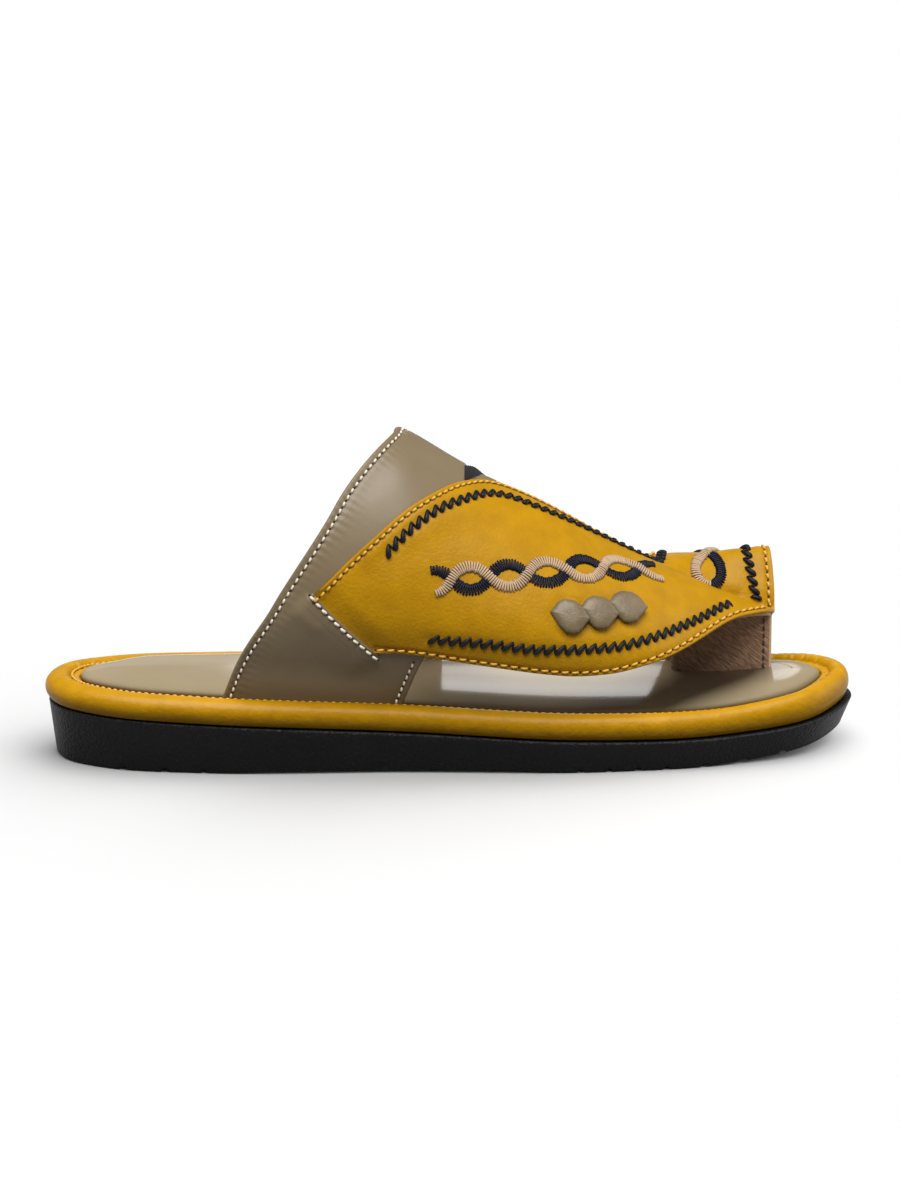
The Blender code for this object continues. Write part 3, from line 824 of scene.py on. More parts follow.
def surface_slopes(surface, x, place):
    """How a surface's point moves per mm of x and per unit of place."""
    by_x = (surface(x + SLOPE_X, place) - surface(x - SLOPE_X, place)) / (2 * SLOPE_X)
    by_place = (surface(x, place + SLOPE_PLACE) - surface(x, place - SLOPE_PLACE)) / (2 * SLOPE_PLACE)
    return by_x, by_place


def outward(surface, path):
    """Directions out of a surface along a path."""
    return unit(np.cross(*surface_slopes(surface, path[..., 0], path[..., 1])))


def along_path(surface, path, pitch):
    """The path of x and place at even steps of about pitch mm on a surface."""
    run = length_along(line_on(surface, path))
    steps = max(2, round(run[-1] / pitch))
    return resample(path, run, np.linspace(0, run[-1], steps + 1))


def path_through(surface, rows, pitch):
    """Smooth path through rows of x and place, at even steps on a surface."""
    at = np.linspace(0, len(rows) - 1, PATH_SAMPLES * len(rows))
    return along_path(surface, rows_at(rows, at), pitch)


def beside(surface, path, offset):
    """Path moved over a surface by offset mm to its left, seen from outside, in a few short moves.

    Each move solves for the change of x and place whose slopes add up to the step to the left.
    """
    moves = 4
    for _ in range(moves):
        by_x, by_place = surface_slopes(surface, path[:, 0], path[:, 1])
        along = np.gradient(line_on(surface, path), axis=0)
        left = unit(np.cross(np.cross(by_x, by_place), along))
        step = left * (np.reshape(offset, (-1, 1)) / moves)
        xx = (by_x * by_x).sum(1)
        xp = (by_x * by_place).sum(1)
        pp = (by_place * by_place).sum(1)
        step_x = (step * by_x).sum(1)
        step_p = (step * by_place).sum(1)
        scale = xx * pp - xp * xp
        change = np.stack([step_x * pp - step_p * xp, step_p * xx - step_x * xp], 1) / scale[:, None]
        path = path + change
    return path


def closest(points, line):
    """Number of the line's point that is nearest to each point."""
    found = np.empty(len(points), int)
    chunk = 4000
    for start in range(0, len(points), chunk):
        apart = points[start : start + chunk, None] - line[None]
        found[start : start + chunk] = (apart**2).sum(-1).argmin(1)
    return found


def nearest(points, line):
    """Distance of each point to the nearest point of a line."""
    return np.linalg.norm(points - line[closest(points, line)], axis=1)


def volume(points, faces):
    """Signed volume inside faces with any number of corners."""
    total = 0.0
    for k in range(1, faces.shape[1] - 1):
        corners = points[faces[:, (0, k, k + 1)]]
        total += np.linalg.det(corners).sum() / 6
    return total


def piece(name, points, patches, looks, stands_for=()):
    """Smooth object in the frame from table points and patches: arrays of faces, and their look's number."""
    points = points.reshape(-1, 3)
    if sum(volume(points, faces) for faces, _ in patches) < 0:
        patches = [(faces[:, ::-1], look) for faces, look in patches]
    mesh = bpy.data.meshes.new(name)
    mesh.vertices.add(len(points))
    mesh.vertices.foreach_set("co", ((points + TABLE_TO_FRAME) / MM_PER_METRE).astype(np.float32).ravel())
    corners = np.concatenate([faces.ravel() for faces, _ in patches])
    sizes = np.concatenate([np.full(len(faces), faces.shape[1]) for faces, _ in patches])
    mesh.loops.add(len(corners))
    mesh.loops.foreach_set("vertex_index", corners.astype(np.int32))
    mesh.polygons.add(len(sizes))
    starts = np.concatenate([[0], np.cumsum(sizes)[:-1]])
    mesh.polygons.foreach_set("loop_start", starts.astype(np.int32))
    numbers = np.concatenate([np.full(len(faces), look) for faces, look in patches])
    mesh.polygons.foreach_set("material_index", numbers.astype(np.int32))
    mesh.update(calc_edges=True)
    mesh.shade_smooth()
    for look in looks:
        mesh.materials.append(look)
    made = bpy.data.objects.new(name, mesh)
    bpy.context.scene.collection.objects.link(made)
    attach(made, "root")
    if stands_for:
        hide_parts(*stands_for)
    return made


def quads(number, closed):
    """Faces between neighbours of a grid of point numbers; closed joins its last column to the first."""
    if closed:
        number = np.concatenate([number, number[:, :1]], 1)
    corners = (number[:-1, :-1], number[1:, :-1], number[1:, 1:], number[:-1, 1:])
    return np.stack(corners, -1)


def numbered(points):
    """Grid of point numbers for a grid of points."""
    return np.arange(points.shape[0] * points.shape[1]).reshape(points.shape[:2])


def closed_skin(number):
    """Patches of a closed skin over a grid of point numbers: the skin, and its first and last rows."""
    return [(quads(number, closed=True).reshape(-1, 4), 0), (number[:1], 0), (number[-1:, ::-1], 0)]


def tubes(centres, ups, radii, sides, height=1.0):
    """Closed threads: rings round each line of centres, their height along up a share of their width."""
    along = np.gradient(centres, axis=1)
    side = unit(np.cross(along, ups))
    up = unit(np.cross(side, along))
    turn = 2 * np.pi * np.arange(sides) / sides
    radii = np.broadcast_to(radii, centres.shape[:2])[..., None, None]
    across = np.cos(turn)[:, None] * side[:, :, None] + height * np.sin(turn)[:, None] * up[:, :, None]
    points = centres[:, :, None] + radii * across
    count, rings = centres.shape[:2]
    number = np.arange(count * rings * sides).reshape(count, rings, sides)
    wrapped = np.concatenate([number, number[:, :, :1]], 2)
    corners = (wrapped[:, :-1, :-1], wrapped[:, :-1, 1:], wrapped[:, 1:, 1:], wrapped[:, 1:, :-1])
    skin = np.stack(corners, -1).reshape(-1, 4)
    ends = np.concatenate([number[:, 0, ::-1], number[:, -1]])
    return points.reshape(-1, 3), skin, ends


def threads(name, look, groups):
    """One object of many closed threads, from groups of what tubes takes."""
    points = []
    patches = []
    start = 0
    for group in groups:
        found, skin, ends = tubes(*group)
        points.append(found)
        patches += [(skin + start, 0), (ends + start, 0)]
        start += len(found)
    return piece(name, np.concatenate(points), patches, [look])


def arcs(starts, ends, ups, seat, rise, radius, height=THREAD_HEIGHT, thin=0.0):
    """Threads that arch from start to end: they leave the surface at seat and stand rise higher half way.

    The radius stays full over most of the length and closes at both ends like an ellipse; thin is the
    share of it that is lost towards the end.
    """
    share = np.linspace(0, 1, THREAD_RINGS)
    arch = 1 - (2 * share - 1) ** 2
    line = blend(starts[:, None], ends[:, None], share[:, None])
    line = line + ups[:, None] * (seat + rise * arch)[:, None]
    full = np.sqrt(np.clip(1 - np.abs(2 * share - 1) ** THREAD_FULLNESS, THREAD_TIP, 1))
    swell = full * (1 - thin * share**THREAD_THINNING)
    return line, np.broadcast_to(ups[:, None], line.shape), radius * swell, THREAD_SIDES, height


def stitch_row(surface, path, pitch, stitch):
    """Row of stitches along a path: each covers its share of the pitch and arches over the surface.

    Its two ends lie STITCH_SLANT to opposite sides of the path.
    """
    cover, seat, rise, radius = stitch
    stations = along_path(surface, path, pitch)
    margin = (1 - cover) / 2
    first = blend(stations[:-1], stations[1:], margin)
    last = blend(stations[:-1], stations[1:], 1 - margin)
    starts = line_on(surface, first)
    ends = line_on(surface, last)
    ups = outward(surface, (first + last) / 2)
    side = STITCH_SLANT * unit(np.cross(ups, ends - starts))
    return arcs(starts - side, ends + side, ups, seat, rise, radius)


def hole_shade_row(surface, path, pitch, hole):
    """Small flat dark beads in the needle holes between the stitches of a row: painted shade of the holes."""
    radius, seat = hole
    stations = along_path(surface, path, pitch)
    middle = line_on(surface, stations)
    along = unit(np.gradient(middle, axis=0)) * radius
    ups = outward(surface, stations)
    return arcs(middle - along, middle + along, ups, seat, HOLE_RISE, radius, height=HOLE_HEIGHT)


def zigzag(surface, path):
    """Zigzag of thick leaning strokes with thin links back: two groups of threads."""
    stations = along_path(surface, path, ZIGZAG_PITCH)
    low = beside(surface, stations, -ZIGZAG_HALF_WIDTH)
    high = beside(surface, stations, ZIGZAG_HALF_WIDTH)
    feet = line_on(surface, low)
    heads = line_on(surface, blend(high[:-1], high[1:], ZIGZAG_LEAN / ZIGZAG_PITCH))
    ups = outward(surface, stations[:-1])
    strokes = arcs(feet[:-1], heads, ups, *ZIGZAG_STROKE, thin=STROKE_THINNING)
    links = arcs(heads, feet[1:], ups, *ZIGZAG_LINK)
    return [strokes, links]


def satin(surface, path, half_width, lift, seed):
    """Satin-stitched strand: threads laid side by side across a path, bowed up in the middle.

    Each thread's reach varies a little, which makes the ragged edge of the embroidery.
    """
    rough = np.random.default_rng(seed)
    run = length_along(line_on(surface, path))
    stations = along_path(surface, path, SATIN_SPACING)
    at = np.linspace(0, 1, len(stations)) * run[-1]
    middle = line_on(surface, stations)
    ups = outward(surface, stations)
    side = unit(np.cross(ups, np.gradient(middle, axis=0)))
    wide = np.interp(at, run, half_width) * (1 + rough.uniform(-SATIN_RAGGED, SATIN_RAGGED, len(at)))
    raised = np.interp(at, run, lift) + rough.uniform(-SATIN_UNEVEN, SATIN_UNEVEN, len(at))
    across = np.linspace(-1, 1, SATIN_POINTS)
    bow = np.sqrt(np.clip(1 - across**4, 0, 1))
    line = middle[:, None] + side[:, None] * (wide[:, None] * across)[..., None]
    line = line + ups[:, None] * ((raised[:, None] + SATIN_BOW) * bow + SATIN_SEAT)[..., None]
    return line, np.broadcast_to(ups[:, None], line.shape), SATIN_RADIUS, SATIN_SIDES, SATIN_HEIGHT


def chain(surface, rows, swing, first_phase, seed):
    """Two strands that swing to either side of a path and cross at every link: groups for beige and navy.

    Offset = swing x sin(pi x phase); the beige strand passes over the navy one at each crossing.
    """
    at = np.linspace(0, len(rows) - 1, CHAIN_SAMPLES * len(rows))
    middle = rows_at(rows, at)
    phase = first_phase + at / 2
    offset = swing * np.sin(np.pi * phase)
    ends = np.minimum(at, len(rows) - 1 - at)
    half_width = CHAIN_HALF_WIDTH * blend(CHAIN_END_SHARE, 1.0, ease(ends / CHAIN_END_ROWS))
    crossing = trough((phase + 0.5) % 1 - 0.5, CROSSING_SHARE)
    beige = satin(surface, beside(surface, middle, offset), half_width, CROSSING_RISE * crossing, seed)
    navy = satin(surface, beside(surface, middle, -offset), half_width, -CROSSING_SINK * crossing, seed + 1)
    return beige, navy


def strap_edges(at):
    """Rows of the toe strap at fractional row numbers: x and place of its upper and of its lower edge."""
    return rows_at(STRAP, at)


def row_runs(surface, first, last):
    """Running lengths over a surface of rows from first to last, and the shares at which they are taken."""
    shares = np.linspace(0, 1, ROW_SAMPLES)
    points = line_on(surface, blend(first[:, None], last[:, None], shares[:, None]))
    lengths = np.linalg.norm(np.diff(points, axis=1), axis=-1)
    return np.concatenate([np.zeros((len(first), 1)), np.cumsum(lengths, 1)], 1), shares


def ribbon(first, last, back, face, columns, relief=None):
    """Closed sheet over rows between two edges on the last: points, and patches for face, edges and back.

    Across a row the skin runs over the face from the first edge to the last one and returns on the back.
    Within half the thickness of an edge it follows a half circle. back and face take x and give distances.
    """
    middle = (back(first[:, 0]) + face(first[:, 0])) / 2
    half = (face(first[:, 0]) - back(first[:, 0])) / 2

    def surface(x, place):
        """Point half way between the sheet's back and its face."""
        return on_last(x, place, middle[:, None])

    runs, shares = row_runs(surface, first, last)
    turn = np.linspace(0, np.pi / 2, EDGE_TURNS + 1)
    edge = (half / runs[:, -1])[:, None] * (1 - np.cos(turn))
    rounding = np.sin(turn)

    def side(count):
        """Shares across a row for one side of the sheet, and how far its points stand out."""
        inner = np.linspace(0, 1, count + 2)[1:-1]
        inside = edge[:, -1:] + (1 - 2 * edge[:, -1:]) * inner
        wanted = np.concatenate([edge, inside, 1 - edge[:, ::-1]], 1)
        lift = np.concatenate([rounding, np.ones(count), rounding[::-1]])
        return wanted, lift

    face_wanted, face_lift = side(columns[0])
    back_wanted, back_lift = side(columns[1])
    wanted = np.concatenate([face_wanted, back_wanted[:, -2:0:-1]], 1) * runs[:, -1:]
    lift = np.concatenate([face_lift, -back_lift[-2:0:-1]])
    share = np.stack([np.interp(want, run, shares) for want, run in zip(wanted, runs)])
    path = blend(first[:, None], last[:, None], share[..., None])
    x = path[..., 0]
    place = path[..., 1]
    centre = (back(x) + face(x)) / 2
    distance = centre + (np.where(lift > 0, face(x), back(x)) - centre) * np.abs(lift)
    top = len(face_lift)
    if relief is not None:
        unsewn = on_last(x[:, :top], place[:, :top], face(x[:, :top]))
        distance[:, :top] += relief(unsewn) * face_lift
    points = on_last(x, place, distance)
    number = numbered(points)
    skin = quads(number, closed=True)
    turned = top - 1
    patches = {
        "face": skin[:, EDGE_TURNS : turned - EDGE_TURNS].reshape(-1, 4),
        "first_edge": np.concatenate([skin[:, :EDGE_TURNS], skin[:, -EDGE_TURNS:]], 1).reshape(-1, 4),
        "last_edge": skin[:, turned - EDGE_TURNS : turned + EDGE_TURNS].reshape(-1, 4),
        "start": number[:1],
        "end": number[-1:, ::-1],
        "back": skin[:, turned + EDGE_TURNS : -EDGE_TURNS].reshape(-1, 4),
    }
    return points, patches


def rings_piece(rings, fill_top=None, fill_bottom=None):
    """Closed skin over a stack of rings; a fill gives the height of rows across the first or last ring.

    Without a fill the ring is closed by one flat face.
    """
    levels, count = rings.shape[:2]
    number = numbered(rings)
    points = [rings.reshape(-1, 3)]
    patches = [(quads(number, closed=True).reshape(-1, 4), 0)]
    start = levels * count
    for loop, height, upside in ((number[0], fill_bottom, False), (number[-1], fill_top, True)):
        if height is None:
            patches.append((loop[None] if not upside else loop[None, ::-1], 0))
            continue
        added, faces = fill(rings.reshape(-1, 3), loop, height, start)
        start += len(added)
        points.append(added)
        patches += [(part[:, ::-1] if upside else part, 0) for part in faces]
    return np.concatenate(points), patches


def fill(points, loop, height, start):
    """Rows across a closed loop, each between two points as far from its start: new points and faces."""
    half = len(loop) // 2
    left = loop[: half + 1]
    right = np.concatenate([loop[:1], loop[: -half - 1 : -1]])
    share = np.linspace(0, 1, FILL_COLUMNS + 2)[1:-1, None]
    inner = blend(points[left[1:-1]][:, None], points[right[1:-1]][:, None], share)
    inner[..., 2] = height(inner)
    number = np.empty((half + 1, FILL_COLUMNS + 2), int)
    number[:, 0] = left
    number[:, -1] = right
    number[0] = left[0]
    number[-1] = left[-1]
    number[1:-1, 1:-1] = start + numbered(inner)
    middle = quads(number[1:-1], closed=False).reshape(-1, 4)
    first = np.stack([number[0, :-1], number[1, :-1], number[1, 1:]], 1)
    last = np.stack([number[-1, :-1], number[-2, 1:], number[-2, :-1]], 1)
    return inner.reshape(-1, 3), [middle, first, last]


def ring(points, inwards, inset, rise, share=1.0):
    """Loop at an inset from the outline, at a rise over a share of the way up the sole's side."""
    plan = points + inwards * np.reshape(inset, (-1, 1))
    x = plan[:, 0]
    return np.column_stack([plan, blend(sole(x, "bottom"), sole(x, "top"), share) + rise])


def grooved(points):
    """Points of the outsole lifted into the tread's cross grooves, which bow towards the toe."""
    lifted = points.copy()
    bow = GROOVE_BOW * (1 - (points[..., 1] / GROOVE_REACH) ** 2) - GROOVE_BOW / 2
    for x, width in GROOVES:
        roof = sole(x, "bottom") + GROOVE_DEPTH
        inside = ease((width / 2 - np.abs(points[..., 0] - x - bow)) / GROOVE_EDGE + 0.5)
        lifted[..., 2] += inside * np.clip(roof - lifted[..., 2], 0, None)
    return lifted


def make_outsole(look):
    """Moulded sole: its side leans from the tread's edge to the top edge, with both edges rounded."""
    points, inwards = outline(SOLE_COUNT)
    draft = sole(points[:, 0], "draft")
    turn = np.linspace(0, np.pi / 2, EDGE_TURNS)
    rings = []
    for angle in turn:
        inset = draft + SOLE_EDGE * (1 - np.sin(angle))
        rings.append(ring(points, inwards, inset, SOLE_EDGE * (1 - np.cos(angle)), 0.0))
    for share in np.linspace(0, 1, SOLE_SIDE_STEPS + 1)[1:-1]:
        rings.append(ring(points, inwards, draft * (1 - share), SOLE_EDGE * (1 - 2 * share), share))
    for angle in turn:
        inset = SOLE_EDGE * (1 - np.cos(angle))
        rings.append(ring(points, inwards, inset, -SOLE_EDGE * (1 - np.sin(angle))))
    rings.append(ring(points, inwards, SOLE_TOP_INSET, 0.0))
    found, patches = rings_piece(np.array(rings), fill_bottom=lambda inner: sole(inner[..., 0], "bottom"))
    return piece("outsole_moulding", grooved(found), patches, [look], ["outsole"])


def pleats(count):
    """Gathers of the rim's leather along the outline: a sum of waves, strong round the toe and the heel."""
    points, _ = outline(count)
    run = np.arange(count) / count * length_along(points)[-1]
    wave = sum(share * np.sin(2 * np.pi * run / length + phase) for share, length, phase in PLEAT_WAVES)
    toe = climb(points[:, 0], *PLEATS_TOE_X) * climb(points[:, 1], *PLEATS_TOE_Y)
    heel = PLEATS_HEEL * climb(points[:, 0], *PLEATS_HEEL_X)
    return wave / PLEAT_WAVES[:, 0].sum() * np.maximum(toe, heel) + PLEATS_REST * wave


def toe_lift(x):
    """How much higher the padded edge stands towards the toe."""
    return TOE_LIFT * climb(x, *TOE_LIFT_X)


def insole_lift(plan):
    """How much higher the insole stands at x and y: along the inner arch and at the toe."""
    x = plan[..., 0]
    arch = climb(plan[..., 1], *ARCH_Y) * climb(x, *ARCH_REAR_X) * climb(x, *ARCH_FRONT_X)
    return ARCH_LIFT * arch + toe_lift(x)


def make_rim(look):
    """Padded rim: a smooth profile carried round the outline, with gathers that start at the sewn crease."""
    points, inwards = outline(RIM_COUNT)
    profile = np.array(RIM_PROFILE)
    fine = through(profile, np.linspace(0, len(profile) - 1, RIM_LEVELS))
    step = sole(points[:, 0], "rim_step") - toe_lift(points[:, 0]) * RIM_SPREAD
    gathers = PLEAT_DEPTH * pleats(RIM_COUNT)
    rings = []
    for inset, height in fine:
        fade = 1 - inset / profile[:, 0].max()
        loop = ring(points, inwards, inset + step * fade, height)
        near_crease = trough(inset - PLEAT_INSET, PLEAT_REACH) * (height > PLEAT_LOWEST)
        lift = toe_lift(loop[:, 0]) * np.clip(height / RIM_LIFT_HEIGHT, 0, 1)
        loop[:, 2] += gathers * near_crease + lift
        rings.append(loop)
    found, patches = rings_piece(np.array(rings))
    return piece("padded_rim", found, patches, [look], ["rim"])


def make_insole(look):
    """Cushioned insole: rounded shoulder round the outline and a slightly crowned top."""
    points, inwards = outline(INSOLE_COUNT)
    profile = np.array(INSOLE_PROFILE)
    fine = through(profile, np.linspace(0, len(profile) - 1, INSOLE_LEVELS))
    rings = []
    for inset, height in fine:
        loop = ring(points, inwards, inset, height)
        loop[:, 2] += insole_lift(loop) * climb(height, *INSOLE_LIFT_HEIGHTS)
        rings.append(loop)
    edge = rings[-1][:, :2]
    flat = profile[-1, 1]

    def top(inner):
        """Height of the top: the crown grows as 1 - exp(-distance from the shoulder / reach)."""
        plan = inner[..., :2].reshape(-1, 2)
        depth = nearest(plan, edge).reshape(inner.shape[:2])
        crown = INSOLE_CROWN * (1 - np.exp(-depth / INSOLE_CROWN_REACH))
        return sole(inner[..., 0], "top") + flat + insole_lift(inner) + crown

    found, patches = rings_piece(np.array(rings), fill_top=top)
    made = piece("insole_cushion", found, patches, [look], ["insole"])
    return made


def band_edges(places):
    """x and place of the instep band's rear edge and of its front edge."""
    edges = smooth(places, BAND[:, 0], BAND[:, 1:])
    return np.column_stack([edges[:, 0], places]), np.column_stack([edges[:, 1], places])


def seam_edge():
    """Path of the panel edge that covers the leaf's rear end, running down and forwards."""
    return path_through(seam_face, SEAM_EDGE, FINE_STEP)


def band_places():
    """Places of the instep band's rows, evenly spaced along its rear edge."""
    rear, _ = band_edges(np.linspace(0, SECTION_POINTS - 1, BAND_SAMPLES))
    return along_path(band_face, rear, BAND_STEP)[:, 1]


def constant(value):
    """A distance that is the same at every x."""
    return lambda x: np.full(np.shape(x), value)


def less_drop(value):
    """A distance that comes down with the toe strap."""
    return lambda x: value - strap_drop(x)


def trough(apart, half_width):
    """Depth share of a soft trough at a distance from its middle."""
    return np.exp(-((apart / half_width) ** 2))


def pull(points, line, depth, half_width):
    """Depth of the soft trough along a line at points near it; a depth below zero makes a ridge."""
    return depth * trough(nearest(points, line), half_width)


def band_stitch_paths():
    """Stitch rows of the instep band: along its rear edge, and up its front edge as far as the leaf."""
    paths = []
    for edge, (first, last, samples, offset) in enumerate(BAND_ROWS):
        path = band_edges(np.linspace(first, last, samples))[edge]
        paths.append(beside(band_face, along_path(band_face, path, PATH_STEP), offset))
    return paths


def seam_stitch_path():
    """Stitch row just behind the panel edge over the leaf."""
    return beside(seam_face, seam_edge()[SEAM_ROW], SEAM_ROW_OFFSET)


def crease_depth(points, surface, creases):
    """Depth of the soft creases of a table at points near a surface."""
    depth = np.zeros(len(points))
    for rows, deep, half_width in creases:
        line = line_on(surface, path_through(surface, rows, CREASE_STEP))
        depth += pull(points, line, deep, half_width)
    return depth


def seam_lift(points):
    """How far the band stands up near the panel edge over the leaf, and how far behind it the points lie.

    Full height along the edge, falling smoothly to nothing SEAM_WIDTH behind it and at both its ends.
    """
    edge = seam_edge()
    line = line_on(seam_face, edge)
    back = unit(line_on(seam_face, beside(seam_face, edge, -1.0)) - line)
    run = length_along(line)
    ends = ease(run / SEAM_FADES[0]) * ease((run[-1] - run) / SEAM_FADES[1])
    found = closest(points, line)
    apart = points - line[found]
    behind = (apart * back[found]).sum(1)
    near = ease(2 - np.linalg.norm(apart, axis=1) / SEAM_WIDTH)
    return (SEAM_FACE - BAND_FACE) * near * ends[found] * (1 - ease(behind / SEAM_WIDTH)), behind


def band_relief(points):
    """Depths of the stitch rows, of their gathers and of soft creases, less the rise to the panel edge."""
    flat = points.reshape(-1, 3)
    rear, front = (line_on(band_face, path) for path in band_stitch_paths())
    found = closest(flat, rear)
    gathers = GATHER_DEPTH * np.sin(2 * np.pi * length_along(rear)[found] / BAND_PITCH)
    depth = pull(flat, rear, *REAR_PULL) + pull(flat, rear, gathers, GATHER_REACH)
    depth += pull(flat, front, *FRONT_PULL)
    depth += crease_depth(flat, band_face, BAND_CREASES)
    lift, behind = seam_lift(flat)
    depth -= lift * climb(behind, *SEAM_RISE)
    return -depth.reshape(points.shape[:2])


def two_looks(found):
    """Patches of a ribbon with look 1 on its back and look 0 elsewhere."""
    return [(faces, int(part == "back")) for part, faces in found.items()]


def make_band(face_look, back_look):
    """Instep band: a sheet between its rear and front edges over the whole section."""
    rear, front = band_edges(band_places())
    points, found = ribbon(rear, front, constant(0.0), constant(BAND_FACE), BAND_COLUMNS, band_relief)
    looks = [face_look, back_look]
    return piece("instep_band", points, two_looks(found), looks, ["upper"])


def make_seam_panel(look):
    """Panel edge over the leaf's rear end: a strip that follows the risen band, rounded along the seam."""
    edge = seam_edge()
    rear = beside(band_face, edge, -SEAM_STRIP)
    share = np.linspace(0, 1, SEAM_COLUMNS)
    x = blend(edge[:, :1], rear[:, :1], share)
    place = blend(edge[:, 1:], rear[:, 1:], share)
    flat = band_face(x, place).reshape(-1, 3)
    lift, _ = seam_lift(flat)
    sewn = pull(seam_face(x, place).reshape(-1, 3), line_on(seam_face, seam_stitch_path()), *SEAM_PULL)
    relief = lift - crease_depth(flat, band_face, BAND_CREASES) - sewn
    run = length_along(line_on(seam_face, edge))
    sink = SEAM_SINK * (1 - ease(run / SEAM_FADES[0]) * ease((run[-1] - run) / SEAM_FADES[0]))
    tuck = SEAM_TUCK * climb(share, *SEAM_TUCK_SHARES)
    height = BAND_FACE + SEAM_SEAT + relief.reshape(x.shape) - tuck - sink[:, None]
    corner = 1 - np.clip(share * SEAM_STRIP / SEAM_ROUND, 0, 1)
    rounding = SEAM_ROUND_SHARE * SEAM_THICK * (1 - np.sqrt(1 - corner**2))
    face = on_last(x, place, height - rounding)
    back = on_last(x, place, np.minimum(height - SEAM_THICK, BAND_FACE - SEAM_BURIED))
    back[:, 0] = on_last(x[:, 0], place[:, 0], height[:, 0] - SEAM_THICK)
    loop = np.concatenate([face, back[:, ::-1]], 1)
    return piece("seam_panel", loop, closed_skin(numbered(loop)), [look])


def strap_rows(count):
    """Row numbers along the toe strap, evenly spaced along its middle."""
    at = np.linspace(0, len(STRAP) - 1, STRAP_SAMPLES)
    edges = strap_edges(at)
    run = length_along(line_on(strap_face, (edges[:, UPPER] + edges[:, LOWER]) / 2))
    return np.interp(np.linspace(0, run[-1], count), run, at)


def leaf_stitch_paths():
    """Stitch rows of the leaf's upper edge, of its lower edge up to the tip, and of the toe loop's front."""
    paths = []
    for edge, first, last, offset, _ in LEAF_ROWS:
        path = strap_edges(np.linspace(first, last, EDGE_SAMPLES))[:, edge]
        paths.append(beside(strap_face, along_path(strap_face, path, PATH_STEP), offset))
    return paths


def zigzag_paths():
    """Middles of the zigzags: the leaf's upper side, its lower side and the front of the toe loop."""
    return [path_through(strap_face, rows, FINE_STEP) for rows in (UPPER_ZIGZAG, LOWER_ZIGZAG, LOOP_ZIGZAG)]


def strap_relief(points):
    """Sewing draws the leather in, the puffed patches dent it and soft creases run over it."""
    flat = points.reshape(-1, 3)
    depth = SEAM_DIP * (1 - ease(nearest(flat, line_on(strap_face, seam_edge())) / SEAM_DIP_REACH))
    for path in leaf_stitch_paths():
        depth += pull(flat, line_on(strap_face, path), *LEAF_PULL)
    for path in zigzag_paths():
        depth += pull(flat, line_on(strap_face, path), *ZIGZAG_PULL)
    for rows, *_ in CHAINS:
        depth += pull(flat, line_on(strap_face, path_through(strap_face, rows, CREASE_STEP)), *CHAIN_PULL)
    deep, half_width = PATCH_PULL
    for _, _, x, place in PATCHES:
        apart = np.linalg.norm(flat - strap_face(np.array(x), np.array(place)), axis=1)
        depth += deep * trough(apart - PATCH_PULL_RADIUS, half_width)
    depth += crease_depth(flat, strap_face, STRAP_CREASES)
    return -depth.reshape(points.shape[:2])


def make_leather(look, back_look):
    """Yellow leaf that turns into the toe loop: a sheet between the strap's two edges, with sewn relief."""
    edges = strap_edges(strap_rows(LEATHER_ROWS))
    sides = (less_drop(LEATHER_BACK), less_drop(LEATHER_FACE))
    points, found = ribbon(edges[:, UPPER], edges[:, LOWER], *sides, LEATHER_COLUMNS, strap_relief)
    looks = [look, back_look]
    return piece("strap_leather", points, two_looks(found), looks, ["strap_overlay"])


def lining_edges(at):
    """Edges of the strap's lining: a margin beyond the leather along the instep, short of it elsewhere."""
    edges = strap_edges(at)
    share = at / (len(STRAP) - 1)
    swell = np.clip(1 - ((share - MARGIN_MIDDLE) / MARGIN_HALF) ** 2, 0, 1)
    upper = beside(strap_face, edges[:, UPPER], -LINING_INSET)
    upper[:, 1] += MARGIN_WIDTH * swell
    lower = beside(strap_face, edges[:, LOWER], LINING_INSET)
    return upper, lower


def under_band(value):
    """A distance that comes down with the toe strap and slips under the band behind its front edge."""
    return lambda x: value - strap_drop(x) - LINING_SLIP * (1 - climb(x, *LINING_SLIP_X))


def make_lining(face_look, edge_look, back_look):
    """Lining of the strap: taupe where it shows beside the leather, pale at its cut edge, brown inside."""
    upper, lower = lining_edges(strap_rows(LINING_ROWS))
    points, found = ribbon(upper, lower, under_band(LINING_BACK), under_band(LINING_FACE), LINING_COLUMNS)
    numbers = {"last_edge": 1, "back": 2}
    patches = [(faces, numbers.get(part, 0)) for part, faces in found.items()]
    return piece("strap_lining", points, patches, [face_look, edge_look, back_look])


def toe_wall_middle(x, rise):
    """Middle of the wall between the toes: straight from its foot in the insole to the strap's dip."""
    foot_y = np.interp(x, TOE_WALL_ENDS, TOE_WALL_FOOT)
    foot_z = sole(x, "top") + TOE_WALL_BASE
    head = on_last(x, DIP_PLACE, LINING_FACE - TOE_WALL_HEAD - STRAP_DROP)
    return np.stack([x, blend(foot_y, head[..., 1], rise), blend(foot_z, head[..., 2], rise)], -1)


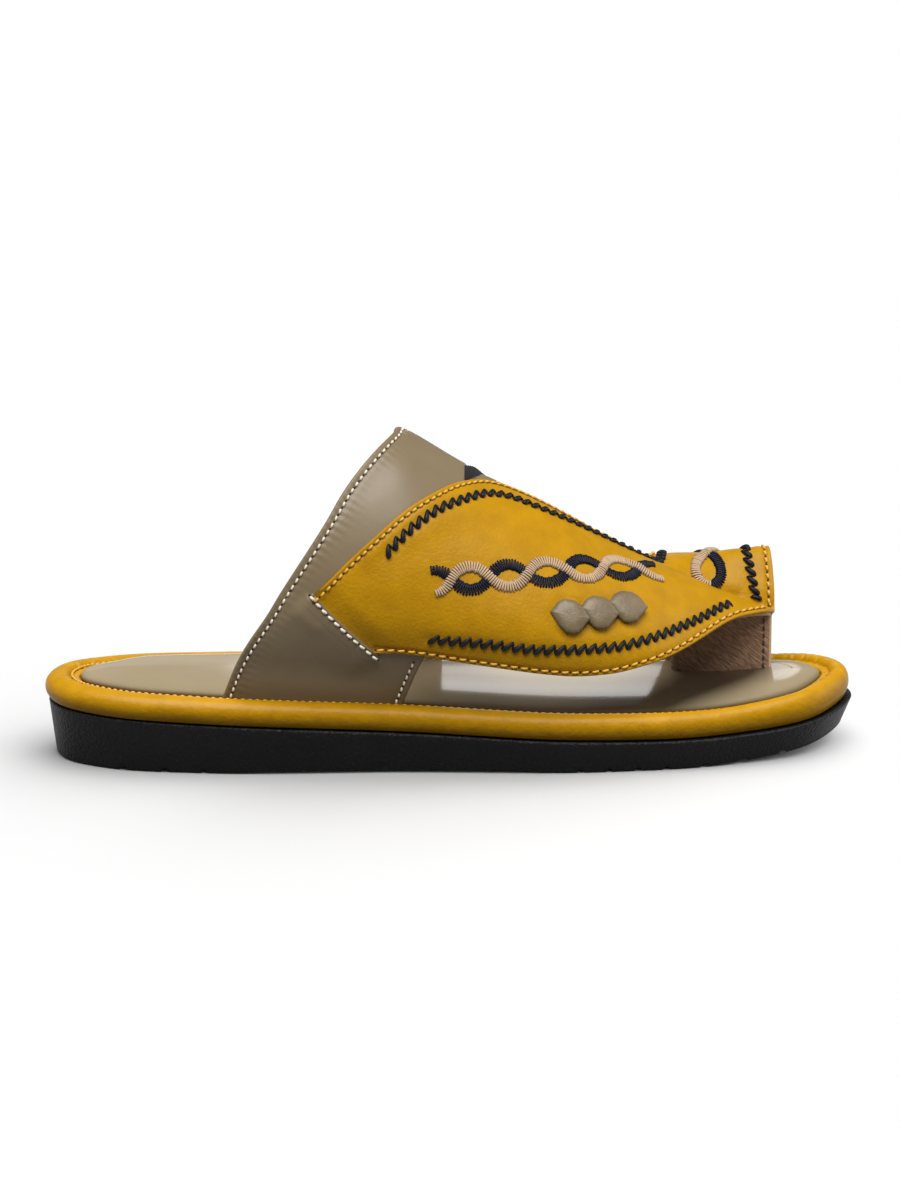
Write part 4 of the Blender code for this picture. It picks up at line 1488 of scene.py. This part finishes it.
def make_toe_wall(face_look, edge_look):
    """Wall between the first two toes: a flat sheet whose two sides meet in rounded upright edges."""
    half = TOE_WALL_THICK / 2
    rear, front = TOE_WALL_ENDS
    turn = np.linspace(0, np.pi / 2, EDGE_TURNS + 1)
    ends = half * (1 - np.cos(turn))
    inside = np.linspace(rear + half, front - half, TOE_WALL_COLUMNS)[1:-1]
    x = np.concatenate([rear + ends, inside, (front - ends)[::-1]])
    out = half * np.concatenate([np.sin(turn), np.ones(len(inside)), np.sin(turn)[::-1]])
    rise = np.linspace(0, 1, TOE_WALL_ROWS)[:, None]
    middle = toe_wall_middle(*np.broadcast_arrays(x, rise))
    near = middle.copy()
    near[..., 1] -= out
    far = middle[:, -2:0:-1].copy()
    far[..., 1] += out[-2:0:-1]
    loop = np.concatenate([near, far], 1)
    number = numbered(loop)
    skin = quads(number, closed=True)
    tip = len(x) - 1
    edge = skin[:, tip - TOE_WALL_CUT : tip + TOE_WALL_CUT].reshape(-1, 4)
    rest = np.concatenate([skin[:, : tip - TOE_WALL_CUT], skin[:, tip + TOE_WALL_CUT :]], 1).reshape(-1, 4)
    patches = [(rest, 0), (edge, 1), (number[:1], 0), (number[-1:, ::-1], 0)]
    return piece("toe_wall", loop, patches, [face_look, edge_look])


def make_gore(look):
    """Elastic in the notch between band and strap: a sheet between two sides from one apex, with ribs."""
    out = np.linspace(*GORE_OUT, GORE_STEPS)[:, None]
    across = np.linspace(*GORE_ACROSS, GORE_STEPS)
    apex = np.array(GORE_APEX)
    band_side = blend(apex, np.array(GORE_BAND_END), out)
    strap_side = blend(apex, np.array(GORE_STRAP_END), out)
    x = blend(band_side[:, :1], strap_side[:, :1], across)
    place = blend(band_side[:, 1:], strap_side[:, 1:], across)
    rib = GORE_RIB_HEIGHT * np.sin(2 * np.pi * across * GORE_RIBS)
    bulge = GORE_BULGE * np.sin(np.pi * np.clip(across, 0, 1))
    bulge = bulge * climb(out, *GORE_BULGE_START) * climb(out, *GORE_BULGE_END)
    under = on_last(x, place, GORE_BACK - strap_drop(x))
    over = on_last(x, place, GORE_FACE + rib + bulge - strap_drop(x))
    loop = np.concatenate([over, under[:, ::-1]], 1)
    return piece("gore_elastic", loop, closed_skin(numbered(loop)), [look], ["elastic_gore"])


def make_patch(name, solid, x, place, look):
    """Puffed scale: rings that shrink from the outline to the middle under a dome, tilted over the next.

    Height = PATCH_RISE x (1 - radius^4)^0.6 over the tilted seat, with the radius as a share of the outline.
    """
    corners = np.array(PATCH_PLAN + PATCH_PLAN[:1])
    run = length_along(corners)
    plan = resample(corners, run, np.arange(PATCH_SIDES) / PATCH_SIDES * run[-1])
    plan = soften(plan, PATCH_SOFT, closed=True)
    _, by_place = surface_slopes(strap_face, np.array(x), np.array(place))
    radius = np.sin(np.linspace(np.pi / 2, PATCH_INNERMOST, PATCH_RINGS))[:, None]
    ring_x = x + radius * plan[:, 0] * PATCH_HALF_LENGTH
    ring_place = place + radius * plan[:, 1] * PATCH_HALF_HEIGHT / np.linalg.norm(by_place)
    dome = PATCH_RISE * (1 - radius**4) ** 0.6
    tilt = PATCH_TILT * (ring_x - x + PATCH_HALF_LENGTH) / (2 * PATCH_HALF_LENGTH)
    seat = LEATHER_FACE + PATCH_SEAT + tilt - strap_drop(ring_x)
    over = on_last(ring_x, ring_place, seat + dome)
    under = on_last(ring_x[:1], ring_place[:1], seat[:1] - PATCH_FLANGE)
    loop = np.concatenate([under, over])
    made = piece(name, loop, closed_skin(numbered(loop)), [look], [solid])
    return made


def rim_stitches():
    """Stitches that hold the rim's turned-in margin down, along the crease."""
    points, inwards = outline(RIM_STITCHES * RIM_STITCH_POINTS)
    line = ring(points, inwards, RIM_SEAM_INSET, RIM_SEAM_HEIGHT)
    starts = line[::RIM_STITCH_POINTS]
    ends = line[RIM_STITCH_POINTS - 1 :: RIM_STITCH_POINTS]
    ups = np.broadcast_to([0.0, 0.0, 1.0], starts.shape)
    return arcs(starts, ends, ups, *RIM_STITCH)


def wall_stitches():
    """Stitches up the near side of the toe wall, close to its front edge."""
    rise = np.linspace(*WALL_ROW, WALL_STITCHES + 1)
    x = np.full(len(rise), TOE_WALL_ENDS[1] - WALL_ROW_INSET)
    line = toe_wall_middle(x, rise)
    line[:, 1] -= TOE_WALL_THICK / 2
    starts, ends = (blend(line[:-1], line[1:], share) for share in WALL_STITCH_SHARES)
    ups = np.broadcast_to([0.0, -1.0, 0.0], starts.shape)
    return arcs(starts, ends, ups, *WALL_STITCH)


def crest_stitch_path():
    """Middle of the lining's margin beside the leather over the instep."""
    at = np.linspace(*CREST_ROW)
    upper, _ = lining_edges(at)
    return along_path(lining_face, (upper + strap_edges(at)[:, UPPER]) / 2, PATH_STEP)


def linear(code):
    """Linear colour of an sRGB hex code."""
    parts = np.array([int(code[i : i + 2], 16) for i in (0, 2, 4)]) / 255
    values = np.where(parts <= 0.04045, parts / 12.92, ((parts + 0.055) / 1.055) ** 2.4)
    return (*values.tolist(), 1.0)


def node(tree, kind, inputs=(), **settings):
    """Adds a node: settings are its properties, inputs give its sockets values or other nodes' outputs."""
    made = tree.nodes.new(kind)
    for name, value in settings.items():
        setattr(made, name, value)
    for name, value in dict(inputs).items():
        if isinstance(value, bpy.types.NodeSocket):
            tree.links.new(value, made.inputs[name])
        else:
            made.inputs[name].default_value = value
    return made


def new_look(name, **values):
    """Material with its shader's constant values set by socket name, underscores for spaces."""
    made = bpy.data.materials.new(name)
    made.use_nodes = True
    shader = made.node_tree.nodes["Principled BSDF"]
    for socket, value in values.items():
        shader.inputs[socket.replace("_", " ")].default_value = value
    return made, made.node_tree, shader


def tones(tree, amount, codes):
    """Colour that runs through the hex codes as the amount goes over TONE_SPAN."""
    low, high = TONE_SPAN
    ramp = node(tree, "ShaderNodeValToRGB", {"Fac": amount})
    elements = ramp.color_ramp.elements
    elements[0].position = low
    elements[1].position = high
    elements[0].color = linear(codes[0])
    elements[1].color = linear(codes[-1])
    for k, code in enumerate(codes[1:-1], 1):
        elements.new(low + (high - low) * k / (len(codes) - 1)).color = linear(code)
    return ramp.outputs["Color"]


def grain(tree, place, size, detail, stretch=None):
    """Noise of about that size in mm over object coordinates; stretch gives turns and scales."""
    if stretch:
        turns, scales = stretch
        stretched = {"Vector": place, "Rotation": turns, "Scale": scales}
        place = node(tree, "ShaderNodeMapping", stretched, vector_type="TEXTURE").outputs["Vector"]
    settings = {"Vector": place, "Scale": MM_PER_METRE / size, "Detail": detail}
    return node(tree, "ShaderNodeTexNoise", settings).outputs["Fac"]


def leather(name, codes, drift, pore, depth, stretch=None, crease=None, **values):
    """Leather whose tone drifts over drift mm, with pores of pore mm and depth mm, and creases if given."""
    made, tree, shader = new_look(name, **values)
    place = node(tree, "ShaderNodeTexCoord").outputs["Object"]
    colour = tones(tree, grain(tree, place, drift, TONE_DETAIL, stretch), codes)
    tree.links.new(colour, shader.inputs["Base Color"])
    height = grain(tree, place, pore, PORE_DETAIL, stretch)
    bump = node(tree, "ShaderNodeBump", {"Height": height, "Distance": depth / MM_PER_METRE})
    if crease:
        size, deep = crease
        height = grain(tree, place, size, TONE_DETAIL)
        inputs = {"Height": height, "Distance": deep / MM_PER_METRE, "Normal": bump.outputs["Normal"]}
        bump = node(tree, "ShaderNodeBump", inputs)
    tree.links.new(bump.outputs["Normal"], shader.inputs["Normal"])
    return made


def plain(name, code, **values):
    """Material of one colour."""
    made, _, shader = new_look(name, **values)
    shader.inputs["Base Color"].default_value = linear(code)
    return made


# Waxed yellow leather: warm and saturated, softly shining, with fine pores
yellow_leather = leather(
    "yellow_leather",
    ("986d00", "9e7200", "a47700"),
    drift=7.0,
    pore=1.1,
    depth=0.2,
    crease=(11.0, 0.25),
    Roughness=0.45,
    Specular_IOR_Level=0.12,
    Coat_Weight=0.05,
    Coat_Roughness=0.25,
)
# Yellow leather drawn tight over the rim's padding: more polished than the leaf
rim_leather = leather(
    "polished_yellow_leather",
    ("946a00", "9a6f00", "a07400"),
    drift=7.0,
    pore=1.1,
    depth=0.12,
    crease=(3.4, 0.3),
    Roughness=0.42,
    Specular_IOR_Level=0.1,
    Coat_Weight=0.05,
    Coat_Roughness=0.22,
)
# Taupe leather of the band: smooth with a semi-gloss finish
taupe_leather = leather(
    "taupe_leather",
    ("675840", "6d5e46", "73644b"),
    drift=45.0,
    pore=0.8,
    depth=0.03,
    crease=(12.0, 0.2),
    Roughness=0.44,
    Specular_IOR_Level=0.32,
    Coat_Weight=0.14,
    Coat_Roughness=0.28,
)
# Soft taupe leather of the puffed patches: satin, with fine pores
patch_leather = leather(
    "soft_taupe_leather",
    ("5f5039", "66573f", "6d5e46"),
    drift=5.0,
    pore=0.9,
    depth=0.14,
    crease=(3.0, 0.15),
    Roughness=0.45,
    Specular_IOR_Level=0.35,
    Coat_Weight=0.15,
    Coat_Roughness=0.3,
)
# Coated taupe leather of the insole: glossy, mirrors its surroundings softly
coated_leather = leather(
    "coated_leather",
    ("82745a", "887a60", "8e8066"),
    drift=50.0,
    pore=1.2,
    depth=0.01,
    crease=(16.0, 0.12),
    Roughness=0.3,
    Specular_IOR_Level=0.0,
    Coat_Weight=0.8,
    Coat_Roughness=0.13,
)
# Brown pigskin lining: matt, with slanting wrinkles; stretched stripes in its colour paint shade in their
# troughs and highlight on their crests
wrinkle_shaded_pigskin = leather(
    "pigskin_lining",
    ("644a36", "82644b", "a28268"),
    drift=0.9,
    pore=0.9,
    depth=0.35,
    stretch=((0.0, 0.66, 0.0), (3.5, 1.0, 0.7)),
    Roughness=0.6,
)
# Cut edge of leather: pale and matt
cut_edge = plain("cut_leather_edge", "a88d6d", Roughness=0.7)
# Moulded black polyurethane: matt with a pebbled skin
polyurethane = leather(
    "black_polyurethane",
    ("070709", "0a0a0c", "0e0e11"),
    drift=9.0,
    pore=1.1,
    depth=0.8,
    Roughness=0.45,
    Specular_IOR_Level=0.16,
)
# Woven elastic: black and matt, so that only its ribs catch light
elastic = plain("black_elastic", "141414", Roughness=0.85)
# Threads: polyester with a faint sheen
cream_thread = plain("cream_thread", "cac1b0", Roughness=0.6)
yellow_thread = plain("yellow_thread", "c4922e", Roughness=0.55)
brown_thread = plain("brown_thread", "3a2a1f", Roughness=0.7)
navy_thread = plain("navy_thread", "080c1e", Roughness=0.5, Specular_IOR_Level=0.2)
dark_thread = plain("dark_navy_thread", "07080f", Roughness=0.5, Specular_IOR_Level=0.2)
beige_thread = plain("beige_thread", "a68c70", Roughness=0.5, Specular_IOR_Level=0.3)
# Painted shade of the punched needle holes: dark and matt
needle_hole = plain("needle_hole", "2e1e0c", Roughness=0.9)
# Painted studio floor: plain white and matt
white_floor = plain("white_floor", "e7e7e7", Roughness=0.9)


def sew():
    """Stitch rows in cream and yellow with dark beads painting the shade in their needle holes, and the
    stitches up the toe wall.
    """
    taupe = [(band_face, path, BAND_PITCH, BAND_STITCH, BAND_HOLE) for path in band_stitch_paths()]
    taupe.append((seam_face, seam_stitch_path(), SEAM_PITCH, SEAM_STITCH, SEAM_HOLE))
    leaf = zip(leaf_stitch_paths(), LEAF_ROWS)
    yellow = [(strap_face, path, pitch, LEAF_STITCH, LEAF_HOLE) for path, (*_, pitch) in leaf]
    cream_rows = [stitch_row(*row, stitch) for *row, stitch, _ in taupe]
    cream_rows.append(stitch_row(lining_face, crest_stitch_path(), BAND_PITCH, CREST_STITCH))
    threads("cream_stitches", cream_thread, cream_rows)
    yellow_rows = [stitch_row(*row, stitch) for *row, stitch, _ in yellow]
    threads("yellow_stitches", yellow_thread, [*yellow_rows, rim_stitches()])
    # Dark beads in the needle holes paint the shade that falls into them
    threads("needle_holes", needle_hole, [hole_shade_row(*row, hole) for *row, _, hole in taupe + yellow])
    threads("wall_stitches", brown_thread, [wall_stitches()])


def embroider():
    """Zigzags, and chains of a beige and a navy strand."""
    strokes = [group for path in zigzag_paths() for group in zigzag(strap_face, path)]
    threads("navy_zigzags", dark_thread, strokes)
    strands = [chain(strap_face, *row) for row in CHAINS]
    threads("navy_strands", navy_thread, [navy for _, navy in strands])
    threads("beige_strands", beige_thread, [beige for beige, _ in strands])


def dress():
    """Builds every piece of the sandal."""
    make_outsole(polyurethane)
    make_rim(rim_leather)
    make_insole(coated_leather)
    make_band(taupe_leather, wrinkle_shaded_pigskin)
    make_seam_panel(taupe_leather)
    make_leather(yellow_leather, wrinkle_shaded_pigskin)
    make_lining(taupe_leather, cut_edge, wrinkle_shaded_pigskin)
    make_toe_wall(wrinkle_shaded_pigskin, cut_edge)
    make_gore(elastic)
    for name, solid, x, place in PATCHES:
        make_patch(name, solid, x, place, patch_leather)
    sew()
    embroider()


def make_floor():
    """Wide white floor, which is not part of the sandal and throws no light back on it."""
    mesh = bpy.data.meshes.new("floor")
    corners = [(x * FLOOR_REACH, y * FLOOR_REACH, 0) for x, y in ((-1, -1), (1, -1), (1, 1), (-1, 1))]
    mesh.from_pydata(corners, [], [(0, 1, 2, 3)])
    mesh.materials.append(white_floor)
    made = bpy.data.objects.new("floor", mesh)
    bpy.context.scene.collection.objects.link(made)
    made.visible_diffuse = False


def hang(light, place, turns, named, state):
    """Puts a light in the scene that lights only the named pieces (INCLUDE) or all but them (EXCLUDE)."""
    holder = bpy.data.objects.new(light.name, light)
    holder.location = place
    holder.rotation_euler = turns
    bpy.context.scene.collection.objects.link(holder)
    reach = bpy.data.collections.new(f"{light.name}_reach")
    for name in named:
        reach.objects.link(bpy.data.objects[name])
    for held in reach.collection_objects:
        held.light_linking.link_state = state
    holder.light_linking.receiver_collection = reach
    return holder


def light_scene():
    """Dim surroundings, soft suns for upper, rim, insole and floor, and panels that the leather mirrors."""
    scene = bpy.context.scene
    world = bpy.data.worlds.new("white_surroundings")
    world.use_nodes = True
    surroundings = world.node_tree.nodes["Background"]
    surroundings.inputs["Color"].default_value = (1.0, 1.0, 1.0, 1.0)
    surroundings.inputs["Strength"].default_value = WORLD_STRENGTH
    scene.world = world
    for name, strength, width, turns, lights, mirrored in SUNS:
        sun = bpy.data.lights.new(name, "SUN")
        sun.energy = strength
        sun.angle = width
        hang(sun, SUN_PLACE, turns, *REACHES[lights]).visible_glossy = mirrored
    for name, middle, turns, size, radiance, lights in PANELS:
        panel = bpy.data.lights.new(name, "AREA")
        panel.shape = "RECTANGLE"
        panel.size, panel.size_y = size
        panel.energy = radiance * np.pi * size[0] * size[1]
        hang(panel, middle, turns, *REACHES[lights])
    scene.view_settings.view_transform = "Standard"


def aim_camera():
    """Camera of the photograph: from the outer side, a little above and a little towards the heel."""
    azimuth = np.radians(CAMERA_AZIMUTH)
    elevation = np.radians(CAMERA_ELEVATION)
    out = np.array(
        (np.sin(azimuth) * np.cos(elevation), -np.cos(azimuth) * np.cos(elevation), np.sin(elevation))
    )
    aim = (np.array(CAMERA_AIM) + TABLE_TO_FRAME) / MM_PER_METRE
    data = bpy.data.cameras.new("photo_camera")
    data.lens = CAMERA_LENS
    data.sensor_width = CAMERA_SENSOR
    camera = bpy.data.objects.new("photo_camera", data)
    camera.location = aim + out * CAMERA_DISTANCE
    camera.rotation_euler = (np.pi / 2 - elevation, 0.0, azimuth)
    bpy.context.scene.collection.objects.link(camera)
    bpy.context.scene.camera = camera


dress()
make_floor()
light_scene()
aim_camera()
